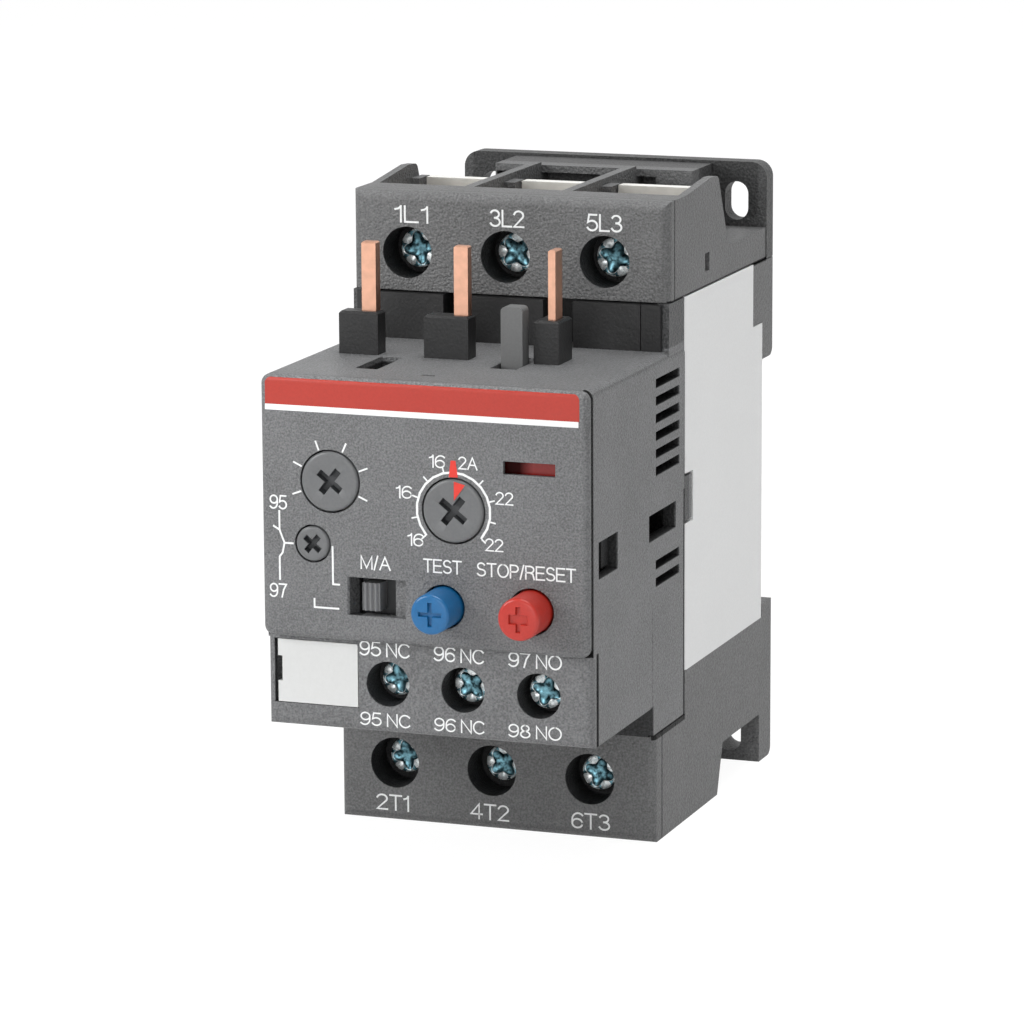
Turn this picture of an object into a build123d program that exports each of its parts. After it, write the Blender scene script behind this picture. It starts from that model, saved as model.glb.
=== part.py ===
from build123d import *
import math
import os

os.makedirs("parts", exist_ok=True)

# A three-pole thermal overload relay on its terminal base.
# X runs across the poles, the front cover faces -Y and Z points up.
# The origin is at the foot of the rear mounting plane, at mid-width.
# All sizes are in millimetres. Depths are measured forward of the mounting plane,
# heights up from the feet.

# Overall sizes
width = 45.0
depth = 79.0
half_width = width / 2
pole_offset = -0.6
pole_pitch = (width - 3.0) / 3
wall = 1.8
seam = 0.1
play = 0.3
running_fit = 0.06
edge_round = 1.3
face_round = 0.9
groove_width = 0.15
groove_reach = 0.5

# Heights of the levels, stacked from the feet
lower_block_height = 14.8
base_seat_height = 20.9
cover_bottom_height = 31.1
aux_block_height = 12.2
module_height = 34.6
shoulder_height = 6.3
upper_block_height = 13.5
aux_bottom_height = cover_bottom_height - aux_block_height
module_top_height = cover_bottom_height + module_height
base_top_height = module_top_height + shoulder_height
upper_top_height = base_top_height + upper_block_height

# Depths of the levels, forward of the mounting plane
upper_face_depth = 46.2
lower_face_depth = 52.6
case_back_depth = 39.6
rail_recess_depth = 4.8
aux_setback = 1.6
aux_block_depth = 24.2

# Front cover and relay case
cover_rim = 1.2
cover_panel = 2.4
cover_lip = 4.0
lip_wall = 1.2
vent_height = 1.25
vent_pitch = 2.35
vent_count = 6
vent_drop = 2.75
low_vent_count = 2
low_vent_rise = 7.5
vent_front_depth = 52.0
vent_back_depth = 42.0
ear_inset = 0.1
ear_thickness = 1.6

# Latch arms of the cover, their windows in the case and the case's tongues
latch_rise = 10.1
latch_height = 3.9
latch_length = 11.2
latch_nib = 2.6
latch_hold = 0.6
latch_window_depth = 75.1
tongue_rise = 10.4
tongue_height = 6.1
tongue_length = 3.2
tongue_thickness = 1.3
tongue_gap = 0.4

# Main terminals, one a pole
main_hole_radius = 3.5
main_head_radius = 3.1
main_head_depth = 3.4
main_head_height = 2.2
main_shank_radius = 2.0
main_neck = 1.5
main_travel = 3.5
main_web = 2.5
main_bar_gap = 1.5
main_bar_thickness = 1.5
main_wire_gap = 4.5
main_back_web = 2.0
main_cage_side = 1.1
divider_thickness = 1.4
divider_shift = -0.75
main_cage_half_width = (pole_pitch - divider_thickness) / 2 - 1.1
main_bar_half_width = main_cage_half_width - main_cage_side - 0.4
load_screw_height = 8.2
line_screw_height = base_top_height + 5.25
line_web_top = upper_top_height - 0.9
line_cage_top = upper_top_height - 4.0

# Auxiliary terminals, three in a row
aux_pitch = 10.4
aux_middle = 4.7
aux_screw_rise = 6.5
aux_hole_radius = 3.0
aux_head_radius = 2.6
aux_head_depth = 3.0
aux_head_height = 1.8
aux_shank_radius = 1.6
aux_neck = 1.5
aux_travel = 2.5
aux_web = 2.0
aux_bar_gap = 1.2
aux_bar_thickness = 1.0
aux_wire_gap = 4.6
aux_back_web = 1.5
aux_cage_half_width = 3.9
aux_cage_side = 0.8
aux_bar_half_width = 2.6
aux_cover_thickness = 1.5
aux_screw_height = aux_bottom_height + aux_screw_rise

# Cross recesses in the screws, dials and buttons
head_cross = (0.75, 0.16, 1.0)
dial_cross = (0.5, 0.12, 0.85)
button_cross = (0.55, 0.16, 0.45)
dial_cross_turn = 52

# Dials, buttons, slider and window on the cover, set from its top, its foot and its sides
dial_gap = 0.22
dial_proud = 0.25
current_dial_x = 4.2
current_dial_z = module_top_height - 16.4
current_dial_radius = 4.15
range_dial_x = 9.7 - half_width
range_dial_z = module_top_height - 13.6
range_dial_radius = 3.95
small_dial_x = 7.2 - half_width
small_dial_z = module_top_height - 21.95
small_dial_radius = 2.3
dial_shaft_radius = 1.6
cam_offset = 0.9
cam_rise = 1.4
button_gap = 0.3
button_proud = 5.0
button_travel = 2.5
test_x = 2.7
test_z = cover_bottom_height + 5.5
test_radius = 2.65
reset_x = half_width - 7.8
reset_z = cover_bottom_height + 5.7
reset_radius = 2.8
button_stem_radius = 1.3
button_collar = 0.7
button_collar_thickness = 1.3
window_right = half_width - 4.45
window_left = window_right - 7.05
window_top = module_top_height - 9.5
window_bottom = window_top - 1.7
flag_margin = 0.25
flag_travel = 1.6
flag_thickness = 0.8
flag_skin = 0.7
mode_left = -10.6
mode_ramp_right = -9.35
mode_open_right = -4.3
mode_right = -2.45
mode_bottom = cover_bottom_height + 3.55
mode_top = mode_bottom + 5.05
mode_floor_depth = 1.2
mode_knob_left = -8.6
mode_knob_width = 2.5
mode_travel = 1.5

# Contact pins and their sleeves on the top of the case
pin_top_height = module_top_height + 14.9
sleeve_height = 5.7
sleeve_front_depth = 61.0
pin_setback = 1.0
strap_drop = 5.7
strap_height = module_top_height - strap_drop
strap_thickness = 1.2
strap_half_width = 1.0

# Coupling hook
hook_x0 = 4.75
hook_x1 = 7.75
hook_front = -62.6
hook_back = -60.2
hook_top = module_top_height + 7.6
hook_travel = 3.0
hook_foot = 1.2

# Upper terminal housing
upper_half_width = half_width - ear_inset
upper_side_wall = 1.1
chamber_lip = 7.2
chamber_back_depth = 12.0
chamber_slack = 1.6
chamber_step_height = upper_top_height - 9.1
floor_thickness = 1.5
ear_plate_thickness = 3.0
ear_slot_x = half_width - 4.4
ear_inner_x = ear_slot_x - 3.6
ear_slot_radius = 1.7
ear_slot_length = 5.4
upper_slot_height = upper_top_height - 5.5
lower_slot_height = 4.0

# Rail seat
rail_width = 35.0
rail_clearance = 0.2
clip_seat_height = 22.8
rail_top_height = clip_seat_height + rail_width + rail_clearance
hook_plate_depth = 9.0
hook_step_height = rail_top_height + 5.3
lip_depth = 3.4
lip_height = 1.6
lip_half_width = 14.0
clip_travel = 3.0
clip_bar_thickness = 1.6

# Mechanism inside the case
frame_back_depth = 53.0
frame_thickness = 1.6
strip_front_depth = 49.5
strip_width = 5.0
strip_thickness = 1.0
strip_bottom_height = 20.0
strip_top_height = module_top_height - 8.3
heater_turns = 8
heater_wall = 0.8
line_run_height = strip_top_height - 6.9
load_run_height = 27.0
slide_bottom_height = module_top_height - 10.5
slide_thickness = 2.0
lever_x = -4.0
lever_z = cover_bottom_height + 15.9
lever_depth = 60.5
lever_thickness = 1.5
lever_tail = 4.6
lever_tip_height = strip_top_height
trip_angle = 9.0
rocker_x = -8.0
rocker_z = cover_bottom_height + 9.4
rocker_ratio = 1.4
pivot_radius = 1.0
pivot_boss_radius = 2.0

cover_face = -depth
case_front = cover_face + cover_rim
panel_back = cover_face + cover_panel
case_back = -case_back_depth
ear_front = -upper_face_depth
aux_face = cover_face + aux_setback
aux_front = aux_face + aux_cover_thickness
aux_back = aux_face + aux_block_depth
upper_face = -upper_face_depth
lower_face = -lower_face_depth
base_back = -rail_recess_depth
frame_back = -frame_back_depth
frame_front = frame_back - frame_thickness
cavity_half = half_width - wall
pole_xs = [pole_offset + pole_pitch * i for i in (-1, 0, 1)]
aux_xs = [aux_middle + aux_pitch * i for i in (-1, 0, 1)]

# Distances of a terminal's pieces behind the face of its block
main_neck_back = main_head_depth + main_head_height + seam + main_neck
main_cage_front = main_neck_back + play + main_travel
main_bar_front = main_cage_front + main_web + main_bar_gap
main_web_front = main_bar_front + main_bar_thickness + main_wire_gap
main_cage_back = main_web_front + main_back_web
aux_neck_back = aux_head_depth + aux_head_height + seam + aux_neck
aux_cage_front = aux_neck_back + play + aux_travel
aux_bar_front = aux_cage_front + aux_web + aux_bar_gap
aux_web_front = aux_bar_front + aux_bar_thickness + aux_wire_gap
aux_cage_back = aux_web_front + aux_back_web


def block(x0, x1, y0, y1, z0, z1, mode=Mode.ADD):
    """A block between two planes each way, in the part being built."""
    with BuildSketch(Plane.XY.offset(z0)) as outline:
        with Locations(((x0 + x1) / 2, (y0 + y1) / 2)):
            Rectangle(x1 - x0, y1 - y0)
    extrude(outline.sketch, amount=z1 - z0, mode=mode)


def side_profile(points, half, mode=Mode.ADD):
    """An outline of depth and height points, carried the same way to both sides."""
    with BuildSketch(Plane.YZ) as outline:
        with BuildLine():
            Polyline(*points, close=True)
        make_face()
    extrude(outline.sketch, amount=half, both=True, mode=mode)


def rod(x, z, radius, y_back, y_front, mode=Mode.ADD):
    """A round bar or hole along the depth, between two depths."""
    with BuildSketch(Plane.XZ.offset(-y_back)) as outline:
        with Locations((x, z)):
            Circle(radius)
    extrude(outline.sketch, amount=y_back - y_front, mode=mode)


def flank(side, x_in, x_out, y0, y1, z0, z1, mode=Mode.ADD):
    """A block at one side, between two distances from the middle plane."""
    x0, x1 = sorted((side * x_in, side * x_out))
    block(x0, x1, y0, y1, z0, z1, mode)


def seam_ring(half, z0, z1, y):
    """A thin groove round the outside, a little way behind the depth y."""
    with BuildSketch(Plane.XZ.offset(-y - groove_width)) as ring:
        with Locations((0, (z0 + z1) / 2)):
            Rectangle(2 * half, z1 - z0)
            Rectangle(2 * (half - groove_reach), z1 - z0 - 2 * groove_reach, mode=Mode.SUBTRACT)
    extrude(ring.sketch, amount=groove_width, mode=Mode.SUBTRACT)


def cross_recess(x, z, radius, front, shares, turn=0):
    """A cross sunk in a round front. Its arm and breadth are shares of the radius."""
    arm, breadth, sunk = shares
    with BuildSketch(Plane.XZ.offset(-front - sunk)) as cross:
        with Locations((x, z)):
            Rectangle(2 * arm * radius, 2 * breadth * radius, rotation=turn)
            Rectangle(2 * breadth * radius, 2 * arm * radius, rotation=turn)
    extrude(cross.sketch, amount=sunk, mode=Mode.SUBTRACT)


def save(part, label):
    """Name a finished piece and write it out."""
    part.label = label
    export_step(part, f"parts/{label}.step")


# Front cover: a plate with a thicker panel behind it and a lip that plugs into the case.
# Round holes take the dials and buttons, a stepped window takes the slider, and the trip flag
# runs in a pocket behind its own window, held in by two keepers.
cover_middle = cover_bottom_height + module_height / 2
plug_half = cavity_half - seam
plug_bottom = cover_bottom_height + wall + seam
plug_top = module_top_height - wall - seam
latch_bottom = cover_bottom_height + latch_rise
latch_top = latch_bottom + latch_height
latch_back = cover_face + latch_length
flag_left = lever_x + lever_thickness / 2 + play
flag_right = cavity_half - play - flag_travel
flag_low = window_bottom - flag_margin
flag_high = window_top + flag_margin
keeper_width = 1.5
keeper_thickness = 0.8

with BuildPart() as front_cover:
    with BuildSketch(Plane.XZ.offset(-case_front)):
        with Locations((0, cover_middle)):
            RectangleRounded(width, module_height, edge_round)
    extrude(amount=cover_rim)
    fillet(front_cover.faces().sort_by(Axis.Y)[0].edges(), face_round)
    block(-plug_half, plug_half, case_front, panel_back, plug_bottom, plug_top)
    block(-plug_half, plug_half, panel_back, panel_back + cover_lip, plug_bottom, plug_top)
    block(-plug_half + lip_wall, plug_half - lip_wall, panel_back, panel_back + cover_lip,
          plug_bottom, plug_top - lip_wall, Mode.SUBTRACT)
    block(flag_left - play, cavity_half, cover_face + flag_skin, panel_back,
          flag_low - play, flag_high + play, Mode.SUBTRACT)
    block(plug_half - lip_wall, plug_half, panel_back, panel_back + cover_lip,
          flag_low - play, flag_high + play, Mode.SUBTRACT)
    for keeper_left in (window_left - 2 * keeper_width, window_right - keeper_width):
        block(keeper_left, keeper_left + keeper_width, panel_back, panel_back + keeper_thickness,
              flag_low - play - keeper_thickness, flag_high + play + keeper_thickness)
    for side in (-1, 1):
        flank(side, plug_half - lip_wall, plug_half, panel_back, latch_back, latch_bottom, latch_top)
        flank(side, plug_half, plug_half + latch_hold, latch_back - latch_nib, latch_back,
              latch_bottom, latch_top)
    for x, z, radius in (
        (current_dial_x, current_dial_z, current_dial_radius + dial_gap),
        (range_dial_x, range_dial_z, range_dial_radius + dial_gap),
        (small_dial_x, small_dial_z, small_dial_radius + dial_gap),
        (test_x, test_z, test_radius + button_gap),
        (reset_x, reset_z, reset_radius + button_gap),
    ):
        rod(x, z, radius, panel_back, cover_face, Mode.SUBTRACT)
    block(window_left, window_right, cover_face, cover_face + flag_skin, window_bottom, window_top,
          Mode.SUBTRACT)
    block(mode_ramp_right, mode_open_right, cover_face, panel_back, mode_bottom, mode_top, Mode.SUBTRACT)
    block(mode_open_right, mode_right, cover_face, cover_face + mode_floor_depth, mode_bottom, mode_top,
          Mode.SUBTRACT)
    with BuildSketch(Plane.XY.offset(mode_bottom)) as ramp:
        with BuildLine():
            Polyline((mode_left, cover_face), (mode_ramp_right, cover_face),
                     (mode_ramp_right, cover_face + mode_floor_depth), close=True)
        make_face()
    extrude(ramp.sketch, amount=mode_top - mode_bottom, mode=Mode.SUBTRACT)
save(front_cover.part, "front_cover")

# Relay case: a shell open at the front, stepped down at the back below the auxiliary block.
# Louvre slots and latch windows go through both side walls, slots through the top.
# Two thin ears stand up at the rear corners on either side of the barrier, and two tongues
# reach back into the base.
step_front = aux_back
hook_gap = 0.35
hook_slot = (hook_x0 - hook_gap, hook_x1 + hook_gap, hook_front - hook_travel - play, hook_back + 3.6)
test_slot = (-12.3, -9.2, -71.2, -61.8)
small_slot = (-2.1, -0.3, -73.9, -73.2)
sleeves = (
    {"x0": -18.6, "x1": -13.1, "y": 2.8, "px0": -15.7, "px1": -13.7, "py": 1.6},
    {"x0": -6.6, "x1": -0.4, "y": 2.9, "px0": -2.7, "px1": -0.75, "py": 1.4},
    {"x0": 8.7, "x1": 12.2, "y": 5.2, "px0": 10.4, "px1": 11.4, "py": 2.7},
)
sleeve_front = -sleeve_front_depth
pin_front = sleeve_front + pin_setback
latch_window_margin = 0.5
tongue_bottom = cover_bottom_height + tongue_rise
tongue_top = tongue_bottom + tongue_height
tongue_half = half_width - seam
ear_half_width = half_width - ear_inset

with BuildPart() as relay_case:
    with BuildSketch(Plane.XZ.offset(-case_back)):
        with Locations((0, cover_middle)):
            RectangleRounded(width, module_height, edge_round)
    extrude(amount=case_back - case_front)
    with BuildSketch(Plane.XZ.offset(-case_back)):
        with Locations((0, (lower_block_height + cover_middle) / 2)):
            Rectangle(width, cover_middle - lower_block_height)
    extrude(amount=case_back - step_front)
    block(-cavity_half, cavity_half, case_front, case_back - wall,
          cover_bottom_height + wall, module_top_height - wall, Mode.SUBTRACT)
    block(-cavity_half, cavity_half, step_front + wall, case_back - wall,
          lower_block_height + wall, module_top_height - wall, Mode.SUBTRACT)
    seam_ring(half_width, cover_bottom_height, module_top_height, case_front)
    for side in (-1, 1):
        flank(side, ear_half_width - ear_thickness, ear_half_width, ear_front, case_back,
              module_top_height - edge_round, base_top_height)
        flank(side, half_width - groove_reach, half_width, case_back - groove_width, case_back,
              lower_block_height, base_top_height, Mode.SUBTRACT)
        flank(side, half_width - groove_reach, half_width, step_front, case_back,
              lower_block_height, lower_block_height + groove_width, Mode.SUBTRACT)
        flank(side, tongue_half - tongue_thickness, tongue_half, case_back - groove_width,
              case_back + tongue_length, tongue_bottom, tongue_top)
    vent_tops = [module_top_height - vent_drop - vent_pitch * i for i in range(vent_count)]
    vent_tops += [cover_bottom_height + low_vent_rise - vent_pitch * i for i in range(low_vent_count)]
    for top in vent_tops:
        block(-half_width, half_width, -vent_front_depth, -vent_back_depth,
              top - vent_height, top, Mode.SUBTRACT)
    block(-half_width, half_width, -latch_window_depth, latch_back + play,
          latch_bottom - latch_window_margin, latch_top + latch_window_margin, Mode.SUBTRACT)
    block(-half_width, half_width, -vent_front_depth - 2.8, -vent_back_depth - 1.5,
          latch_bottom + play, latch_top, Mode.SUBTRACT)
    for slot in (hook_slot, test_slot, small_slot):
        block(*slot, module_top_height - wall, module_top_height, Mode.SUBTRACT)
    for s in sleeves:
        block(s["px0"] - seam, s["px1"] + seam, pin_front - seam, pin_front + s["py"] + seam,
              module_top_height - wall, module_top_height, Mode.SUBTRACT)
    for x in pole_xs:
        for run in (line_run_height, load_run_height):
            block(x - main_bar_half_width - seam, x + main_bar_half_width + seam, case_back - wall, case_back,
                  run - seam, run + main_bar_thickness + seam, Mode.SUBTRACT)
    for x in aux_xs:
        block(x - aux_bar_half_width - seam, x + aux_bar_half_width + seam,
              aux_face + aux_bar_front - seam, aux_face + aux_bar_front + aux_bar_thickness + seam,
              cover_bottom_height, cover_bottom_height + wall, Mode.SUBTRACT)
save(relay_case.part, "relay_case")

# Sleeves and contact pins on the case. Each pin goes down through the top of the case,
# back over the mechanism frame and down onto its pole's line bar.
leg_front = case_back - wall - 1.7
leg_back = leg_front + strap_thickness
sleeve_bevel = 0.3
pin_bevel = 0.2
for s, x, name in zip(sleeves, pole_xs, ("left", "middle", "right")):
    with BuildPart() as pin_sleeve:
        block(s["x0"], s["x1"], sleeve_front, sleeve_front + s["y"], module_top_height,
              module_top_height + sleeve_height)
        chamfer(pin_sleeve.faces().sort_by(Axis.Z)[-1].edges(), sleeve_bevel)
        block(s["px0"] - seam, s["px1"] + seam, pin_front - seam, pin_front + s["py"] + seam,
              module_top_height, module_top_height + sleeve_height, Mode.SUBTRACT)
    save(pin_sleeve.part, f"pin_sleeve_{name}")

    with BuildPart() as contact_pin:
        block(s["px0"], s["px1"], pin_front, pin_front + s["py"], strap_height, pin_top_height)
        chamfer(contact_pin.faces().sort_by(Axis.Z)[-1].edges(), pin_bevel)
        strap = sorted((s["px0"], s["px1"], x - strap_half_width, x + strap_half_width))
        block(s["px0"], s["px1"], pin_front, leg_back, strap_height, strap_height + strap_thickness)
        block(strap[0], strap[-1], leg_front, leg_back, strap_height, strap_height + strap_thickness)
        block(x - strap_half_width, x + strap_half_width, leg_front, leg_back,
              line_run_height + main_bar_thickness, strap_height + strap_thickness)
    save(contact_pin.part, f"contact_pin_{name}")

# Grey coupling hook: an upright with a foot below the case's top, so it can't pull out.
hook_shelf = module_top_height - wall - play
with BuildPart() as coupling_hook:
    block(hook_x0, hook_x1, hook_front, hook_back, hook_shelf, hook_top)
    fillet(coupling_hook.edges().filter_by(Axis.Y).group_by(Axis.Z)[-1], edge_round / 2)
    block(hook_x0 - face_round, hook_x1 + face_round, hook_front, hook_back + wall,
          hook_shelf - hook_foot, hook_shelf)
save(coupling_hook.part, "coupling_hook")

# Barrier between the case and the upper block: a front plate over the ends of the case's ears
# and a body between the ears, with two channels down to the case and hollows behind.
barrier_plate = 1.0
barrier_half = ear_half_width - ear_thickness - seam
barrier_front = ear_front - barrier_plate
barrier_top = base_top_height - seam
barrier_skin = 1.4
channel_reach = 3.6
channels = ((-9.1, -7.1), (5.1, 9.3))
hollow_ends = (1 - barrier_half + seam, channels[0][0] - barrier_skin, channels[0][1] + barrier_skin,
               channels[1][0] - barrier_skin, channels[1][1] + barrier_skin, barrier_half - 1 - seam)
with BuildPart() as barrier:
    block(-barrier_half, barrier_half, ear_front, case_back, module_top_height, barrier_top)
    block(face_round - ear_half_width, ear_half_width - face_round, barrier_front, ear_front - seam,
          module_top_height, barrier_top)
    block(-barrier_half, barrier_half, ear_front - seam, ear_front, module_top_height, barrier_top)
    for x0, x1 in channels:
        block(x0, x1, barrier_front, ear_front + channel_reach, module_top_height, barrier_top, Mode.SUBTRACT)
    for x0, x1 in zip(hollow_ends[::2], hollow_ends[1::2]):
        block(x0, x1, ear_front + barrier_skin, case_back - barrier_skin, module_top_height,
              barrier_top - barrier_skin, Mode.SUBTRACT)
    block(barrier_half - 2.0, barrier_half - 2.0 + groove_width, barrier_front, barrier_front + play,
          module_top_height, barrier_top, Mode.SUBTRACT)
save(barrier.part, "barrier_insert")


head_bevel = 0.35


def make_screw(label, x, z, face, head_depth, head_height, head_radius, shank_radius, tip):
    """A terminal screw along the depth: a crossed head in its hole and a shank up to the bar."""
    head_front = face + head_depth
    with BuildPart() as screw:
        rod(x, z, head_radius, head_front + head_height, head_front)
        chamfer(screw.faces().sort_by(Axis.Y)[0].edges(), head_bevel)
        rod(x, z, shank_radius, face + tip, head_front + head_height)
        chamfer(screw.faces().sort_by(Axis.Y)[-1].edges(), head_bevel)
        cross_recess(x, z, head_radius, head_front, head_cross)
    save(screw.part, label)


def make_cage(label, x, z, front, back, web, back_web, half, side, low, high, web_high, bore):
    """A clamp cage: a tube open up and down, tapped at the front, pulled forward by its screw."""
    with BuildPart() as cage:
        block(x - half, x + half, front, back, low, high)
        block(x - half + side, x + half - side, front + web, back - back_web, low, high, Mode.SUBTRACT)
        if web_high > high:
            block(x - half, x + half, back - back_web, back, high, web_high)
        rod(x, z, bore, front + web, front, Mode.SUBTRACT)
    save(cage.part, label)


# Main terminals: a screw and a cage a pole, above and below.
line_cage_bottom = base_top_height + floor_thickness + play
load_cage_bottom = 2.6
load_cage_top = lower_block_height - wall - play
for i, x in enumerate(pole_xs):
    for group, z, face, low, high, web_high in (
        ("line", line_screw_height, upper_face, line_cage_bottom, line_cage_top, line_web_top),
        ("load", load_screw_height, lower_face, load_cage_bottom, load_cage_top, load_cage_top),
    ):
        make_screw(f"{group}_screw_{i + 1}", x, z, face, main_head_depth, main_head_height,
                   main_head_radius, main_shank_radius, main_bar_front - play)
        make_cage(f"{group}_cage_{i + 1}", x, z, face + main_cage_front, face + main_cage_back,
                  main_web, main_back_web, main_cage_half_width, main_cage_side, low, high, web_high,
                  main_shank_radius + running_fit)

# Auxiliary terminals.
aux_cage_bottom = aux_bottom_height + 1.2
aux_cage_top = cover_bottom_height - 1.5 - play
for i, x in enumerate(aux_xs):
    make_screw(f"aux_screw_{i + 1}", x, aux_screw_height, aux_face, aux_head_depth, aux_head_height,
               aux_head_radius, aux_shank_radius, aux_bar_front - play)
    make_cage(f"aux_cage_{i + 1}", x, aux_screw_height, aux_face + aux_cage_front, aux_face + aux_cage_back,
              aux_web, aux_back_web, aux_cage_half_width, aux_cage_side, aux_cage_bottom, aux_cage_top,
              aux_cage_top, aux_shank_radius + running_fit)

# Upper terminal housing: a front wall with three screw holes, open wire chambers between
# dividers, side walls with a sloping back, and a rear wall with panel ears.
upper_floor = base_top_height + floor_thickness
chamber_front = upper_face + chamber_lip
chamber_back = -chamber_back_depth
chamber_step = upper_face + main_cage_back + chamber_slack
divider_xs = [pole_offset + pole_pitch * i + divider_shift for i in (-0.5, 0.5)]
inner_half = upper_half_width - upper_side_wall
crest_front = upper_face + 18.0
crest_back = crest_front + 3.3
crest_rise = 1.1
wall_end = chamber_step + 1.2
cap_depth = 2.3
rear_window_bottom = upper_top_height - 6.0
rear_window_top = upper_top_height - 1.4
side_slot = (upper_face + 15.5, upper_face + 17.4, upper_floor + 0.6, upper_floor + 3.1)

with BuildPart() as upper_housing:
    side_profile(((upper_face, base_top_height), (upper_face, upper_top_height),
                  (chamber_front, upper_top_height), (crest_front, upper_top_height + crest_rise),
                  (crest_back, upper_top_height + crest_rise - 0.2), (wall_end, chamber_step_height),
                  (0, chamber_step_height), (0, base_top_height)), upper_half_width)
    crest = upper_housing.edges().filter_by(Axis.X).group_by(Axis.Z)
    fillet(crest[-1] + crest[-2], edge_round)
    fillet(upper_housing.faces().sort_by(Axis.Y)[0].edges().sort_by(Axis.Z)[1:], edge_round)
    block(-inner_half, inner_half, chamber_front, chamber_step, upper_floor,
          upper_top_height + 2 * crest_rise, Mode.SUBTRACT)
    block(-inner_half, inner_half, chamber_step, wall_end + floor_thickness, chamber_step_height,
          upper_top_height + 2 * crest_rise, Mode.SUBTRACT)
    block(-ear_inner_x, ear_inner_x, chamber_back, 0, chamber_step_height, upper_top_height - 0.4)
    with BuildSketch(Plane.XZ):
        with Locations((0, (base_top_height + upper_top_height) / 2)):
            RectangleRounded(width, upper_block_height, 2.2)
        with Locations((0, base_top_height + floor_thickness)):
            Rectangle(width, 2 * floor_thickness)
    extrude(amount=ear_plate_thickness)
    for x in divider_xs:
        block(x - divider_thickness / 2, x + divider_thickness / 2, chamber_front, chamber_back,
              upper_floor, upper_top_height)
    post_lefts = [-inner_half] + [x + divider_thickness / 2 for x in divider_xs]
    for left, pole_x in zip(post_lefts, pole_xs):
        block(left, pole_x - main_cage_half_width - play, upper_face + main_web_front - main_back_web,
              upper_face + main_cage_back, upper_floor, line_web_top)
    for x in pole_xs:
        rod(x, line_screw_height, main_hole_radius, upper_face + main_neck_back - main_neck, upper_face,
            Mode.SUBTRACT)
        rod(x, line_screw_height, main_shank_radius + play, chamber_front, upper_face, Mode.SUBTRACT)
        block(x - main_bar_half_width - seam, x + main_bar_half_width + seam,
              upper_face + main_bar_front - seam, upper_face + main_bar_front + main_bar_thickness + seam,
              base_top_height, upper_floor, Mode.SUBTRACT)
    window_lefts = [0.2 - ear_inner_x] + [x + divider_thickness / 2 for x in divider_xs]
    for left, right in zip(window_lefts, (-11.0, 1.0, 9.2)):
        block(left, right, chamber_back, chamber_back + 3.0, rear_window_bottom, rear_window_top,
              Mode.SUBTRACT)
    seam_ring(upper_half_width, base_top_height, upper_top_height, upper_face + cap_depth)
    block(-upper_half_width, upper_half_width, upper_face, upper_face + groove_reach,
          base_top_height, base_top_height + groove_width, Mode.SUBTRACT)
    for side in (-1, 1):
        flank(side, inner_half, upper_half_width, *side_slot, Mode.SUBTRACT)
        flank(side, upper_half_width - groove_reach, upper_half_width, upper_face, -ear_plate_thickness,
              base_top_height, base_top_height + groove_width, Mode.SUBTRACT)
        with BuildSketch(Plane.XZ):
            with Locations((side * ear_slot_x, upper_slot_height)):
                SlotOverall(ear_slot_length, 2 * ear_slot_radius, rotation=90)
        extrude(amount=ear_plate_thickness, mode=Mode.SUBTRACT)
save(upper_housing.part, "upper_terminal_housing")

# Rail hook plate: closes the rear top corner and hooks over the rail's upper edge.
rib_bay = main_cage_half_width - 0.8
with BuildPart() as rail_hook:
    side_profile(((-hook_plate_depth, hook_step_height), (-hook_plate_depth, base_top_height - seam),
                  (0, base_top_height - seam), (0, rail_top_height), (base_back, rail_top_height),
                  (base_back, hook_step_height)), half_width)
    fillet(rail_hook.edges().filter_by(Axis.X).group_by(Axis.Z)[0].sort_by(Axis.Y)[-1], edge_round)
    block(-lip_half_width, lip_half_width, -lip_depth, 0, rail_top_height - lip_height,
          rail_top_height + lip_height)
    for x in pole_xs:
        block(x - rib_bay, x + rib_bay, wall - hook_plate_depth, -wall, hook_step_height + wall,
              base_top_height - seam, Mode.SUBTRACT)
save(rail_hook.part, "rail_hook_plate")

# Base body: a pale tube between the two terminal housings, notched for the hook plate,
# with barrier walls between the poles, slots for the bars and notches for the case's tongues.
barrier_wall = 1.2
with BuildPart() as base_body:
    side_profile(((case_back, base_seat_height), (case_back, base_top_height),
                  (-hook_plate_depth - seam, base_top_height),
                  (-hook_plate_depth - seam, hook_step_height - seam),
                  (base_back, hook_step_height - seam), (base_back, base_seat_height)), half_width)
    fillet(base_body.edges().filter_by(Axis.Z).group_by(Axis.Y)[0], face_round)
    side_profile(((case_back + wall, base_seat_height), (case_back + wall, base_top_height),
                  (-hook_plate_depth - seam - wall, base_top_height),
                  (-hook_plate_depth - seam - wall, hook_step_height - seam - wall),
                  (base_back - wall, hook_step_height - seam - wall), (base_back - wall, base_seat_height)),
                 cavity_half, Mode.SUBTRACT)
    for x in (pole_offset - pole_pitch / 2, pole_offset + pole_pitch / 2):
        block(x - barrier_wall / 2, x + barrier_wall / 2, case_back + wall / 2, base_back - wall / 2,
              base_seat_height, hook_step_height - wall)
    for side in (-1, 1):
        flank(side, half_width - wall, half_width, case_back, case_back + tongue_length + tongue_gap,
              tongue_bottom - tongue_gap, tongue_top + tongue_gap, Mode.SUBTRACT)
    for x in pole_xs:
        for run in (line_run_height, load_run_height):
            block(x - main_bar_half_width - seam, x + main_bar_half_width + seam, case_back, case_back + wall,
                  run - seam, run + main_bar_thickness + seam, Mode.SUBTRACT)
save(base_body.part, "base_body")

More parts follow.
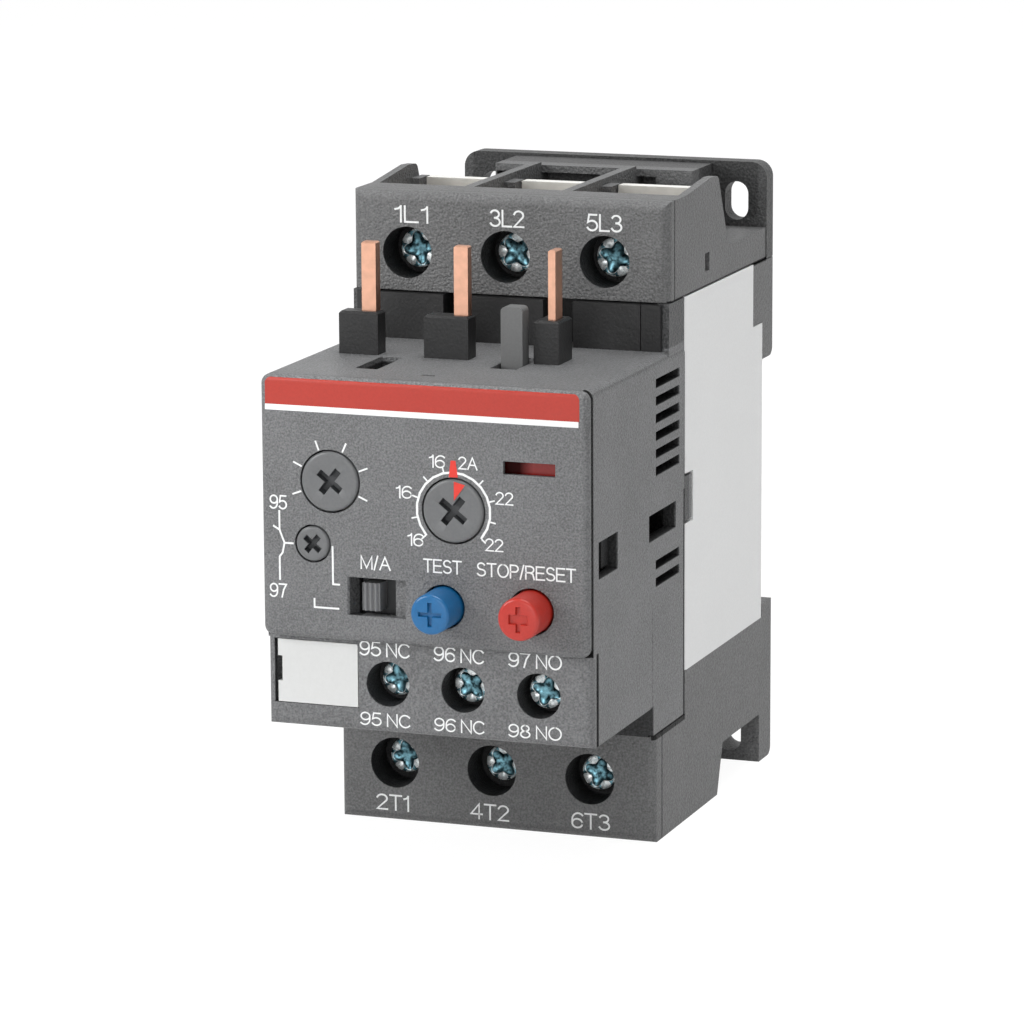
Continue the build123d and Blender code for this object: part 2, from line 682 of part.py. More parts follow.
# Lower terminal housing: screw holes in the front, wire chambers open below,
# a raised underside behind them and a foot plate with slots at the back.
foot_depth = 5.5
underside_height = 6.95
underside_front = -22.5
foot_back = -25.0
lug_gap = 0.7
chamber_x = main_cage_half_width + 0.4
load_chamber_front = lower_face + main_neck_back
load_chamber_back = lower_face + main_cage_back + 0.5
load_cap_depth = 3.2
clip_half = 8.0
clip_channel_depth = 4.5
channel_floor = 3.6
clip_bar_bottom = clip_seat_height - clip_bar_thickness

with BuildPart() as lower_housing:
    side_profile(((lower_face, 0), (lower_face, lower_block_height), (case_back, lower_block_height),
                  (case_back, base_seat_height), (0, base_seat_height), (0, 0), (-foot_depth, 0),
                  (-foot_depth, underside_height), (underside_front, underside_height), (foot_back, 0)),
                 half_width)
    fillet(lower_housing.edges().filter_by(Axis.X).group_by(Axis.Z)[0].sort_by(Axis.Y)[-1], edge_round)
    fillet(lower_housing.faces().sort_by(Axis.Y)[0].edges().sort_by(Axis.Z)[:-1], edge_round)
    seam_ring(half_width, 0, lower_block_height, lower_face + load_cap_depth)
    block(-cavity_half, cavity_half, case_back + wall, load_chamber_back, lower_block_height,
          base_seat_height, Mode.SUBTRACT)
    block(-cavity_half, cavity_half, load_chamber_back + wall, -foot_depth - 1.0, underside_height + wall,
          base_seat_height, Mode.SUBTRACT)
    for x in pole_xs:
        block(x - chamber_x, x + chamber_x, load_chamber_front, load_chamber_back, 0,
              lower_block_height - wall, Mode.SUBTRACT)
        rod(x, load_screw_height, main_hole_radius, lower_face + main_neck_back - main_neck, lower_face,
            Mode.SUBTRACT)
        rod(x, load_screw_height, main_shank_radius + play, load_chamber_front, lower_face, Mode.SUBTRACT)
        block(x - main_bar_half_width - seam, x + main_bar_half_width + seam,
              lower_face + main_bar_front - seam, lower_face + main_bar_front + main_bar_thickness + seam,
              lower_block_height - wall, lower_block_height, Mode.SUBTRACT)
    block(-clip_half - play, clip_half + play, -clip_channel_depth, 0, channel_floor, base_seat_height,
          Mode.SUBTRACT)
    block(-lip_half_width - play, lip_half_width + play, -clip_channel_depth, 0,
          clip_bar_bottom - clip_travel - play, base_seat_height, Mode.SUBTRACT)
    for side in (-1, 1):
        flank(side, lip_half_width + play + lug_gap, half_width, base_back + play, 0,
              base_seat_height, clip_seat_height)
        with BuildSketch(Plane.XZ):
            with Locations((side * ear_slot_x, lower_slot_height)):
                SlotOverall(ear_slot_length, 2 * ear_slot_radius, rotation=90)
        extrude(amount=foot_depth, mode=Mode.SUBTRACT)
save(lower_housing.part, "lower_terminal_housing")

# Rail clip: a bar across the back that holds the rail's lower edge, on a stem that slides down.
clip_front = -clip_channel_depth + play
clip_foot = channel_floor + clip_travel + 2.0
clip_notch = 4.0
clip_notch_half = 2.5

with BuildPart() as rail_clip:
    block(-lip_half_width, lip_half_width, clip_front, -play, clip_bar_bottom, clip_seat_height)
    block(-lip_half_width, lip_half_width, -lip_depth + play, -play, clip_seat_height,
          clip_seat_height + lip_height)
    block(-clip_half, clip_half, clip_front, -play, clip_foot, clip_bar_bottom)
    block(-clip_notch_half, clip_notch_half, clip_front, -play, clip_foot, clip_foot + clip_notch,
          Mode.SUBTRACT)
save(rail_clip.part, "rail_clip")

# Current bars. A line bar drops from its cage and turns forward to the heater's upper end,
# a load bar rises from its cage and turns forward to the heater's lower end.
strip_front = -strip_front_depth
strip_back = strip_front + strip_width
bar_end = strip_back + play + heater_wall
line_bar_front = upper_face + main_bar_front
load_bar_front = lower_face + main_bar_front
with BuildPart() as line_bars:
    for x in pole_xs:
        block(x - main_bar_half_width, x + main_bar_half_width, line_bar_front,
              line_bar_front + main_bar_thickness, line_run_height, line_cage_top - 0.5)
        block(x - main_bar_half_width, x + main_bar_half_width, bar_end, line_bar_front,
              line_run_height, line_run_height + main_bar_thickness)
save(line_bars.part, "line_bars")

with BuildPart() as load_bars:
    for x in pole_xs:
        block(x - main_bar_half_width, x + main_bar_half_width, load_bar_front,
              load_bar_front + main_bar_thickness, load_cage_bottom + 0.8,
              load_run_height + main_bar_thickness)
        block(x - main_bar_half_width, x + main_bar_half_width, bar_end, load_bar_front,
              load_run_height, load_run_height + main_bar_thickness)
save(load_bars.part, "load_bars")

# Bimetal strips, the windings that heat them and the holder that they stand in.
ring_in_x = strip_thickness / 2 + play
ring_in_front = strip_front - play
ring_in_back = strip_back + play
ring_pitch = (line_run_height - load_run_height) / (heater_turns - 1)

with BuildPart() as bimetal_strips:
    for x in pole_xs:
        block(x - strip_thickness / 2, x + strip_thickness / 2, strip_front, strip_back,
              strip_bottom_height, strip_top_height)
save(bimetal_strips.part, "bimetal_strips")

with BuildPart() as heater_coils:
    for x in pole_xs:
        outer = ring_in_x + heater_wall
        for i in range(heater_turns):
            z = load_run_height + ring_pitch * i
            block(x - outer, x + outer, ring_in_front - heater_wall, ring_in_back + heater_wall,
                  z, z + main_bar_thickness)
            if i < heater_turns - 1:
                side = 1 if i % 2 else -1
                link = sorted((x + side * ring_in_x, x + side * outer))
                block(*link, strip_front, strip_front + 1.2, z + main_bar_thickness, z + ring_pitch)
        block(x - ring_in_x, x + ring_in_x, ring_in_front, ring_in_back, load_run_height,
              line_run_height + main_bar_thickness, Mode.SUBTRACT)
save(heater_coils.part, "heater_coils")

holder_bottom = lower_block_height + wall
holder_top = load_run_height - 2.0
holder_half = cavity_half - 1.7
holder_wall = 1.4
with BuildPart() as bimetal_holder:
    block(-holder_half, holder_half, strip_front - holder_wall, strip_back + holder_wall,
          holder_bottom, holder_top)
    for x in pole_xs:
        block(x - (strip_thickness + seam) / 2, x + (strip_thickness + seam) / 2,
              strip_front - seam / 2, strip_back + seam / 2, strip_bottom_height, holder_top, Mode.SUBTRACT)
save(bimetal_holder.part, "bimetal_holder")

# Mechanism frame: a plate across the case with bearing bosses for the dials and buttons,
# a shelf for the trip slide and a window that the slide's arm passes through.
frame_bottom = cover_bottom_height + wall
frame_top = strap_height - 2 * play
boss_length = 9.4
bearing_wall = 0.9
shelf_thickness = 1.2
shelf_back = strip_front - 0.4
arm_width = 2.0
arm_right = lever_x - lever_thickness / 2 - play
arm_left = arm_right - arm_width
boss_front = frame_front - boss_length

pivots = ((lever_x, lever_z), (rocker_x, rocker_z))
pin_fit = 0.02

with BuildPart() as mechanism_frame:
    block(-cavity_half + seam, cavity_half - seam, frame_front, frame_back, frame_bottom, frame_top)
    block(-cavity_half + seam, cavity_half - seam, frame_back, shelf_back,
          slide_bottom_height - play - shelf_thickness, slide_bottom_height - play)
    bearings = (
        (current_dial_x, current_dial_z, dial_shaft_radius),
        (range_dial_x, range_dial_z, dial_shaft_radius),
        (small_dial_x, small_dial_z, dial_shaft_radius),
        (test_x, test_z, button_stem_radius),
        (reset_x, reset_z, button_stem_radius),
    )
    for x, z, radius in bearings:
        rod(x, z, radius + bearing_wall, frame_front, boss_front)
    for x, z, radius in bearings:
        rod(x, z, radius + running_fit, frame_front, boss_front, Mode.SUBTRACT)
    for x, z in pivots:
        rod(x, z, pivot_boss_radius, frame_front, -lever_depth + lever_thickness + play)
        rod(x, z, pivot_radius + pin_fit, frame_back, -lever_depth, Mode.SUBTRACT)
    block(arm_left - play - seam, lever_x + 2 * lever_thickness, frame_front, frame_back,
          slide_bottom_height - play, slide_bottom_height + slide_thickness + play, Mode.SUBTRACT)
save(mechanism_frame.part, "mechanism_frame")

pivot_end = 0.8
with BuildPart() as pivot_pins:
    for x, z in pivots:
        rod(x, z, pivot_radius, frame_back, -lever_depth - pivot_end)
save(pivot_pins.part, "pivot_pins")

# Trip slide: lies on the frame's shelf, its slots take the tips of the bimetal strips
# and its arm reaches forward beside the compensating lever.
slide_travel = (slide_bottom_height + 1.2 - lever_z) * math.radians(trip_angle)
slide_edge = 0.8
with BuildPart() as trip_slide:
    block(1.5 - cavity_half, cavity_half - 3.5, strip_front - slide_edge, strip_back + slide_edge,
          slide_bottom_height, slide_bottom_height + slide_thickness)
    block(arm_left, arm_right, -lever_depth - slide_edge, strip_front - slide_edge,
          slide_bottom_height, slide_bottom_height + slide_thickness)
    for x in pole_xs:
        block(x - strip_thickness / 2 - play - slide_travel, x + strip_thickness / 2 + play,
              strip_front - play, strip_back + play, slide_bottom_height,
              slide_bottom_height + slide_thickness, Mode.SUBTRACT)
save(trip_slide.part, "trip_slide")

# Compensating lever: pivots on its pin, pushed at the top, and pushes the contact rocker below.
with BuildPart() as trip_lever:
    rod(lever_x, lever_z, pivot_boss_radius, -lever_depth + lever_thickness, -lever_depth)
    block(lever_x - lever_thickness / 2, lever_x + lever_thickness / 2, -lever_depth,
          -lever_depth + lever_thickness, lever_z, lever_tip_height)
    block(lever_x - lever_thickness / 2, lever_x + lever_thickness / 2, -lever_depth,
          -lever_depth + lever_thickness, lever_z - lever_tail, lever_z)
    rod(lever_x, lever_z, pivot_radius + running_fit, -lever_depth + lever_thickness, -lever_depth,
        Mode.SUBTRACT)
save(trip_lever.part, "trip_lever")

# Contact rocker: a short arm up to the lever and one down between the fixed contacts.
rocker_half = 0.6
contact_arm = 5.2
with BuildPart() as contact_rocker:
    rod(rocker_x, rocker_z, pivot_boss_radius, -lever_depth + lever_thickness, -lever_depth)
    block(rocker_x - rocker_half, rocker_x + rocker_half, -lever_depth, -lever_depth + lever_thickness,
          rocker_z - contact_arm, rocker_z)
    block(rocker_x, lever_x - lever_thickness / 2 - 2 * play, -lever_depth, -lever_depth + lever_thickness,
          rocker_z + rocker_half, rocker_z + 3 * rocker_half)
    rod(rocker_x, rocker_z, pivot_radius + running_fit, -lever_depth + lever_thickness, -lever_depth,
        Mode.SUBTRACT)
save(contact_rocker.part, "contact_rocker")

# Auxiliary bars: each rises from its cage through the floor, runs back and across in its own
# lane and ends in a finger beside the rocker.
lane_bottom = cover_bottom_height + wall
finger_top = lane_bottom + 5.3
finger_thickness = 0.5
foil = 0.8
lane_pitch = 2.2
lane_width = 1.6
lane_first = -lever_depth - 0.4
lane_half = 0.9
contact_swing = contact_arm * math.sin(math.radians(trip_angle * rocker_ratio))
finger_lefts = (rocker_x + rocker_half + contact_swing + play,
                rocker_x - rocker_half - play - finger_thickness, rocker_x - 5.0)
finger_fronts = (lane_first, lane_first, lane_first + 2 * lane_pitch)
with BuildPart() as aux_bars:
    for i, (x, finger_x, finger_front) in enumerate(zip(aux_xs, finger_lefts, finger_fronts)):
        front = aux_face + aux_bar_front
        lane = lane_first + lane_pitch * i
        block(x - aux_bar_half_width, x + aux_bar_half_width, front, front + aux_bar_thickness,
              aux_cage_bottom + 2 * play, lane_bottom + foil)
        block(x - lane_half, x + lane_half, front, lane + lane_width, lane_bottom, lane_bottom + foil)
        block(finger_x, x + lane_half, lane, lane + lane_width, lane_bottom, lane_bottom + foil)
        block(finger_x, finger_x + finger_thickness, finger_front, lane + lane_width,
              lane_bottom, finger_top)
save(aux_bars.part, "aux_contact_bars")


dial_back = panel_back + 2 * play
cam_front = cover_face + 9.0
cam_back = cam_front + 3.0


def make_dial(label, x, z, radius, cam):
    """A dial: a crossed disc in the cover, a shaft to its bearing and, where asked, an eccentric cam."""
    with BuildPart() as dial:
        rod(x, z, radius, dial_back, cover_face - dial_proud)
        chamfer(dial.faces().sort_by(Axis.Y)[0].edges(), play)
        rod(x, z, dial_shaft_radius, frame_front - wall / 2, dial_back)
        if cam:
            rod(x + cam_offset, z, dial_shaft_radius + cam_rise, cam_back, cam_front)
        cross_recess(x, z, radius, cover_face - dial_proud, dial_cross, dial_cross_turn)
    save(dial.part, label)


make_dial("current_dial", current_dial_x, current_dial_z, current_dial_radius, True)
make_dial("range_dial", range_dial_x, range_dial_z, range_dial_radius, False)
make_dial("selector_dial", small_dial_x, small_dial_z, small_dial_radius, False)


collar_back = panel_back + play + button_collar_thickness


def make_button(label, x, z, radius):
    """A push button: a crossed cap through the cover, a collar behind it and a stem in its bearing."""
    with BuildPart() as button:
        rod(x, z, radius, panel_back + play, cover_face - button_proud)
        chamfer(button.faces().sort_by(Axis.Y)[0].edges(), head_bevel)
        rod(x, z, radius + button_collar, collar_back, panel_back + play)
        rod(x, z, button_stem_radius, frame_front - play - button_travel, collar_back)
        cross_recess(x, z, radius, cover_face - button_proud, button_cross)
    save(button.part, label)


spring_wire = 0.45
spring_turns = 4
coil_clearance = 0.75


def make_spring(label, x, z, start, length, coil_radius, turns):
    """A coil spring of square wire along the depth, from start backwards."""
    wire = spring_wire
    coil = Helix(pitch=(length - wire) / turns, height=length - wire, radius=coil_radius,
                 center=(x, start + wire / 2, z), direction=(0, 1, 0))
    with BuildPart() as spring:
        with BuildLine():
            add(coil)
        with BuildSketch(Plane(origin=coil @ 0, z_dir=coil % 0)):
            Rectangle(wire, wire)
        sweep(is_frenet=True)
    save(spring.part, label)


for label, x, z, radius in (("test", test_x, test_z, test_radius), ("reset", reset_x, reset_z, reset_radius)):
    make_button(f"{label}_button", x, z, radius)
    make_spring(f"{label}_spring", x, z, collar_back + seam, boss_front - collar_back - 2 * seam,
                button_stem_radius + coil_clearance, spring_turns)

# Clip spring, upright below the clip's stem.
clip_wire = 0.5
clip_coil_radius = 1.3
clip_coil_height = clip_foot + clip_notch - channel_floor - 2 * seam - clip_wire
clip_coil = Helix(pitch=clip_coil_height / spring_turns, height=clip_coil_height, radius=clip_coil_radius,
                  center=(0, (clip_front - play) / 2, channel_floor + seam + clip_wire / 2))
with BuildPart() as clip_spring:
    with BuildLine():
        add(clip_coil)
    with BuildSketch(Plane(origin=clip_coil @ 0, z_dir=clip_coil % 0)):
        Rectangle(clip_wire, clip_wire)
    sweep(is_frenet=True)
save(clip_spring.part, "clip_spring")

# Manual and automatic slider: a ribbed knob in the window on a plate behind the cover.
slider_overlap = 0.5
slider_front = panel_back + play
knob_front = cover_face + 0.4
knob_margin = 0.7
rib_count = 3
rib_pitch = 0.7
rib_width = 0.35
with BuildPart() as mode_slider:
    block(mode_ramp_right - mode_travel - slider_overlap, mode_open_right + slider_overlap,
          slider_front, slider_front + flag_thickness + play, mode_bottom - slider_overlap,
          mode_top + slider_overlap)
    block(mode_knob_left, mode_knob_left + mode_knob_width, knob_front, slider_front,
          mode_bottom + knob_margin, mode_top - knob_margin)
    for i in range(rib_count):
        rib_x = mode_knob_left + rib_width + rib_pitch * i
        block(rib_x, rib_x + rib_width, knob_front - play, knob_front,
              mode_bottom + knob_margin, mode_top - knob_margin)
save(mode_slider.part, "mode_slider")

# Trip flag: a strip behind the window, with a tail back to the lever's right side.
flag_front = cover_face + flag_skin + play
flag_back = flag_front + flag_thickness
tail_thickness = 1.2
with BuildPart() as trip_flag:
    block(flag_left, flag_right, flag_front, flag_back, flag_low, flag_high)
    block(flag_left, flag_left + tail_thickness, flag_back, -lever_depth + lever_thickness,
          flag_low, flag_high)
save(trip_flag.part, "trip_flag")

# Auxiliary terminal block: a box with three wire chambers open below.
aux_top = cover_bottom_height
aux_wall = 1.5
aux_chamber_x = aux_cage_half_width + 0.4
with BuildPart() as aux_block:
    with BuildSketch(Plane.XZ.offset(-aux_back)):
        with Locations((0, aux_top - aux_block_height / 2)):
            Rectangle(width, aux_block_height)
    extrude(amount=aux_back - aux_front)
    seam_ring(half_width, aux_bottom_height, aux_top, aux_front)
    for side in (-1, 1):
        flank(side, half_width - groove_reach, half_width, aux_front, aux_back,
              aux_top - groove_width, aux_top, Mode.SUBTRACT)
        flank(side, half_width - groove_reach, half_width, aux_back - groove_width, aux_back,
              aux_bottom_height, aux_top, Mode.SUBTRACT)
    for x in aux_xs:
        block(x - aux_chamber_x, x + aux_chamber_x, aux_face + aux_neck_back, aux_face + aux_cage_back + 0.5,
              aux_bottom_height, aux_top - aux_wall, Mode.SUBTRACT)
        rod(x, aux_screw_height, aux_hole_radius, aux_face + aux_neck_back - aux_neck, aux_front,
            Mode.SUBTRACT)
        rod(x, aux_screw_height, aux_shank_radius + play, aux_face + aux_neck_back, aux_front, Mode.SUBTRACT)
        block(x - aux_bar_half_width - seam, x + aux_bar_half_width + seam,
              aux_face + aux_bar_front - seam, aux_face + aux_bar_front + aux_bar_thickness + seam,
              aux_top - aux_wall, aux_top, Mode.SUBTRACT)
    block(-half_width + wall, aux_xs[0] - aux_chamber_x - wall, aux_front + wall, aux_back - wall,
          aux_bottom_height, aux_top - aux_wall, Mode.SUBTRACT)
save(aux_block.part, "aux_terminal_block")

# Auxiliary front cover with its screw holes and the recess for the marker plate.
marker_left = 0.9 - half_width
marker_right = marker_left + 11.8
marker_bottom = aux_bottom_height + 3.0
marker_top = marker_bottom + 8.6
marker_thickness = 0.8
marker_notch = (0.6, marker_bottom + 2.9, marker_bottom + 6.25)
with BuildPart() as aux_cover:
    with BuildSketch(Plane.XZ.offset(-aux_front)):
        with Locations((0, aux_top - aux_block_height / 2)):
            Rectangle(width, aux_block_height)
    extrude(amount=aux_cover_thickness)
    fillet(aux_cover.faces().sort_by(Axis.Y)[0].edges().sort_by(Axis.Z)[:-1], face_round)
    for x in aux_xs:
        rod(x, aux_screw_height, aux_hole_radius, aux_front, aux_face, Mode.SUBTRACT)
    block(marker_left, marker_right, aux_face, aux_face + marker_thickness, marker_bottom, marker_top,
          Mode.SUBTRACT)
save(aux_cover.part, "aux_terminal_cover")

with BuildPart() as marker_plate:
    block(marker_left + groove_reach, marker_right - seam, aux_face, aux_face + marker_thickness,
          marker_bottom + seam, marker_top - seam)
    block(marker_left + groove_reach, marker_left + groove_reach + marker_notch[0], aux_face,
          aux_face + marker_thickness, *marker_notch[1:], Mode.SUBTRACT)
save(marker_plate.part, "marker_plate")
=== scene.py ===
import math

import bpy
import numpy as np
from mathutils import Matrix, Vector


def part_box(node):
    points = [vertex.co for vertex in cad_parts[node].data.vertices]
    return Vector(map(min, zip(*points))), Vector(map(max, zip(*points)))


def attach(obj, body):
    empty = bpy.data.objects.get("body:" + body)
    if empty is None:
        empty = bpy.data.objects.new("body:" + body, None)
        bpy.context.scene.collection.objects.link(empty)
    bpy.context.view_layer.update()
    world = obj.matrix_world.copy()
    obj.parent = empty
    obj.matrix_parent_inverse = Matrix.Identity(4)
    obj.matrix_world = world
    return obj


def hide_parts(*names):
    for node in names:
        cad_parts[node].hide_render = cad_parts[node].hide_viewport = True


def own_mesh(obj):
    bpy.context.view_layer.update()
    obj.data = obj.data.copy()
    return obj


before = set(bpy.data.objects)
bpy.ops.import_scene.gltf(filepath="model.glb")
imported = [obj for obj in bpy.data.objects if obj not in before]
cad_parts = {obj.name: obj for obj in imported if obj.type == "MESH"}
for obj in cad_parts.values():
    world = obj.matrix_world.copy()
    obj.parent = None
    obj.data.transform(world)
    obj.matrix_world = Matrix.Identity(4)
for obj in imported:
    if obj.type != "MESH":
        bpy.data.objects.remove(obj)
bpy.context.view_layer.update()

# Pale base body between the two terminal housings.
# A glass-filled thermoplastic shell, moulded smooth, that snaps into the housings above and below.
body_white = (0.735, 0.74, 0.74, 1.0)


def moulded(name, colour, grain, relief, roughness, speckle=0.10):
    """Moulded plastic. Pebbles are cells of a size grain (m) raised by relief (m), and the
    colour moves by the share speckle between fine light and dark flecks and soft cloudy patches."""
    material = bpy.data.materials.new(name)
    material.use_nodes = True
    nodes = material.node_tree.nodes
    links = material.node_tree.links
    shader = nodes["Principled BSDF"]
    shader.inputs["Roughness"].default_value = roughness
    place = nodes.new("ShaderNodeTexCoord")

    pebble = nodes.new("ShaderNodeTexVoronoi")
    pebble.feature = "SMOOTH_F1"
    pebble.inputs["Scale"].default_value = 1.0 / grain
    pebble.inputs["Smoothness"].default_value = 0.6
    links.new(place.outputs["Object"], pebble.inputs["Vector"])
    fleck = nodes.new("ShaderNodeTexNoise")
    fleck.inputs["Scale"].default_value = 1.5 / grain
    fleck.inputs["Detail"].default_value = 3.0
    links.new(place.outputs["Object"], fleck.inputs["Vector"])
    cloud = nodes.new("ShaderNodeTexNoise")
    cloud.inputs["Scale"].default_value = 90.0
    cloud.inputs["Detail"].default_value = 2.0
    links.new(place.outputs["Object"], cloud.inputs["Vector"])

    height = nodes.new("ShaderNodeMath")
    height.operation = "ADD"
    links.new(pebble.outputs["Distance"], height.inputs[0])
    links.new(fleck.outputs["Fac"], height.inputs[1])
    bump = nodes.new("ShaderNodeBump")
    bump.inputs["Distance"].default_value = relief
    bump.inputs["Strength"].default_value = 1.0
    links.new(height.outputs["Value"], bump.inputs["Height"])
    links.new(bump.outputs["Normal"], shader.inputs["Normal"])

    both = nodes.new("ShaderNodeMath")
    both.operation = "MULTIPLY_ADD"
    both.inputs[1].default_value = 0.20
    links.new(cloud.outputs["Fac"], both.inputs[0])
    links.new(fleck.outputs["Fac"], both.inputs[2])
    tint = nodes.new("ShaderNodeValToRGB")
    tint.color_ramp.elements[0].position = 0.42
    tint.color_ramp.elements[1].position = 0.78
    low = [c * (1.0 - speckle) for c in colour[:3]] + [1.0]
    high = [min(1.0, c * (1.0 + speckle)) for c in colour[:3]] + [1.0]
    tint.color_ramp.elements[0].color = low
    tint.color_ramp.elements[1].color = high
    links.new(both.outputs["Value"], tint.inputs["Fac"])
    links.new(tint.outputs["Color"], shader.inputs["Base Color"])
    return material


def dress(material, *names):
    """These CAD nodes take this material."""
    for name in names:
        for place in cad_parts[name].material_slots:
            place.material = material


def shade(material, low, high, soft, amount):
    """Darken a material inside a box whose corners are (|x|, depth, height) in mm. Its colour and
    its gloss are multiplied by 1 - amount inside and by 1 from soft (mm) outside it, in a line between."""
    nodes = material.node_tree.nodes
    links = material.node_tree.links
    socket = nodes["Principled BSDF"].inputs["Base Color"]
    middle = [(a + b) / 2000.0 for a, b in zip(low, high)]
    half = [(b - a) / 2000.0 for a, b in zip(low, high)]
    place = nodes.new("ShaderNodeTexCoord").outputs["Object"]
    for operation, value in (("ABSOLUTE", None), ("SUBTRACT", middle), ("ABSOLUTE", None),
                             ("SUBTRACT", half), ("MAXIMUM", (0.0, 0.0, 0.0))):
        step = nodes.new("ShaderNodeVectorMath")
        step.operation = operation
        links.new(place, step.inputs[0])
        if value is not None:
            step.inputs[1].default_value = value
        place = step.outputs["Vector"]
    away = nodes.new("ShaderNodeVectorMath")
    away.operation = "LENGTH"
    links.new(place, away.inputs[0])
    fade = nodes.new("ShaderNodeMapRange")
    fade.inputs["From Max"].default_value = soft / 1000.0
    fade.inputs["To Min"].default_value = 1.0 - amount
    links.new(away.outputs["Value"], fade.inputs["Value"])
    dimmed = nodes.new("ShaderNodeVectorMath")
    dimmed.operation = "SCALE"
    links.new(socket.links[0].from_socket, dimmed.inputs[0])
    links.new(fade.outputs["Result"], dimmed.inputs["Scale"])
    links.new(dimmed.outputs["Vector"], socket)
    gloss = nodes["Principled BSDF"].inputs["Specular IOR Level"]
    duller = nodes.new("ShaderNodeMath")
    duller.operation = "MULTIPLY"
    duller.inputs[0].default_value = gloss.default_value
    if gloss.links:
        links.new(gloss.links[0].from_socket, duller.inputs[0])
    links.new(fade.outputs["Result"], duller.inputs[1])
    links.new(duller.outputs["Value"], gloss)


pale_moulding = moulded("pale_moulding", body_white, 0.00035, 0.000006, 0.46, 0.025)
dress(pale_moulding, "base_body")

# Terminal housings above and below, and the hook plate that closes the back over the rail.
# Dark grey thermoset, textured on its outer faces, moulded in one shot each. Painted darkness
# stands in for shadow in the screw holes and on the rear plate and deck, and draws painted shadow lines along
# the seams.
housing_grey = (0.105, 0.106, 0.107, 1.0)

housing_moulding = moulded("housing_moulding", housing_grey, 0.00040, 0.000130, 0.50, 0.34)
dress(housing_moulding, "upper_terminal_housing", "lower_terminal_housing", "rail_hook_plate")
for low, high, soft, amount in (
    ((0.0, 39.3, 73.0), (21.4, 45.8, 84.2), 0.4, 0.75),
    ((0.0, 42.0, 1.0), (21.4, 52.2, 14.2), 0.4, 0.75),
    ((22.0, 43.70, 71.9), (22.6, 43.94, 86.0), 0.08, 0.85),
    ((22.0, 3.0, 71.8), (22.6, 46.3, 72.25), 0.08, 0.90),
    ((22.0, 49.20, 0.0), (22.6, 49.44, 14.8), 0.08, 0.85),
    ((0.0, 0.0, 72.0), (22.6, 3.1, 86.7), 0.3, 0.40),
    ((0.0, 3.1, 78.0), (21.0, 8.8, 86.7), 0.4, 0.40),
    ((22.0, 39.5, 14.20), (22.7, 52.6, 14.85), 0.10, 0.85),
):
    shade(housing_moulding, low, high, soft, amount)

# Sliding rail clip and its return spring.
# Black moulding in the foot of the lower housing, pushed up under the rail by a small coil spring.
clip_black = (0.0120, 0.0120, 0.0125, 1.0)

black_moulding = moulded("black_moulding", clip_black, 0.00045, 0.000020, 0.42, 0.20)
dress(black_moulding, "rail_clip")


def metal(name, colour, roughness, streak, patch, along, patch_scale=700.0):
    """Bare or plated metal: colour clouded by the share patch, roughness varied by fine
    streaks, streak (m) wide, drawn out along one axis (0, 1 or 2)."""
    material = bpy.data.materials.new(name)
    material.use_nodes = True
    nodes = material.node_tree.nodes
    links = material.node_tree.links
    shader = nodes["Principled BSDF"]
    shader.inputs["Metallic"].default_value = 1.0
    place = nodes.new("ShaderNodeTexCoord")
    stretch = nodes.new("ShaderNodeMapping")
    scale = [1.0, 1.0, 1.0]
    scale[along] = 0.06
    stretch.inputs["Scale"].default_value = scale
    links.new(place.outputs["Object"], stretch.inputs["Vector"])
    lines = nodes.new("ShaderNodeTexNoise")
    lines.inputs["Scale"].default_value = 1.0 / streak
    lines.inputs["Detail"].default_value = 4.0
    links.new(stretch.outputs["Vector"], lines.inputs["Vector"])
    cloud = nodes.new("ShaderNodeTexNoise")
    cloud.inputs["Scale"].default_value = patch_scale
    cloud.inputs["Detail"].default_value = 3.0
    links.new(place.outputs["Object"], cloud.inputs["Vector"])
    gloss = nodes.new("ShaderNodeMapRange")
    gloss.inputs["To Min"].default_value = roughness * 0.75
    gloss.inputs["To Max"].default_value = roughness * 1.35
    links.new(lines.outputs["Fac"], gloss.inputs["Value"])
    links.new(gloss.outputs["Result"], shader.inputs["Roughness"])
    tint = nodes.new("ShaderNodeValToRGB")
    tint.color_ramp.elements[0].position = 0.35
    tint.color_ramp.elements[1].position = 0.65
    tint.color_ramp.elements[0].color = [c * (1.0 - patch) for c in colour[:3]] + [1.0]
    tint.color_ramp.elements[1].color = [min(1.0, c * (1.0 + patch)) for c in colour[:3]] + [1.0]
    links.new(cloud.outputs["Fac"], tint.inputs["Fac"])
    links.new(tint.outputs["Color"], shader.inputs["Base Color"])
    bump = nodes.new("ShaderNodeBump")
    bump.inputs["Distance"].default_value = streak * 0.04
    bump.inputs["Strength"].default_value = 0.6
    links.new(lines.outputs["Fac"], bump.inputs["Height"])
    links.new(bump.outputs["Normal"], shader.inputs["Normal"])
    return material


def tube_faces(rows, count):
    """The faces round the side of a tube: rows of count points each, one row after the other."""
    here = np.arange(count)
    after = (here + 1) % count
    return [quad for first in range(0, (rows - 1) * count, count)
            for quad in np.stack([first + here, first + after,
                                  first + count + after, first + count + here], axis=1).tolist()]


def finish_piece(mesh, material, body, crease=38.0):
    """The mesh, whose faces already look outward, becomes an object at the origin, shaded smooth
    up to the crease angle, with its material on it, and riding on its body."""
    mesh.materials.append(material)
    mesh.validate()
    mesh.polygons.foreach_set("use_smooth", np.ones(len(mesh.polygons), dtype=bool))
    mesh.set_sharp_from_angle(angle=math.radians(crease))
    piece = bpy.data.objects.new(mesh.name, mesh)
    bpy.context.scene.collection.objects.link(piece)
    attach(piece, body)
    return piece


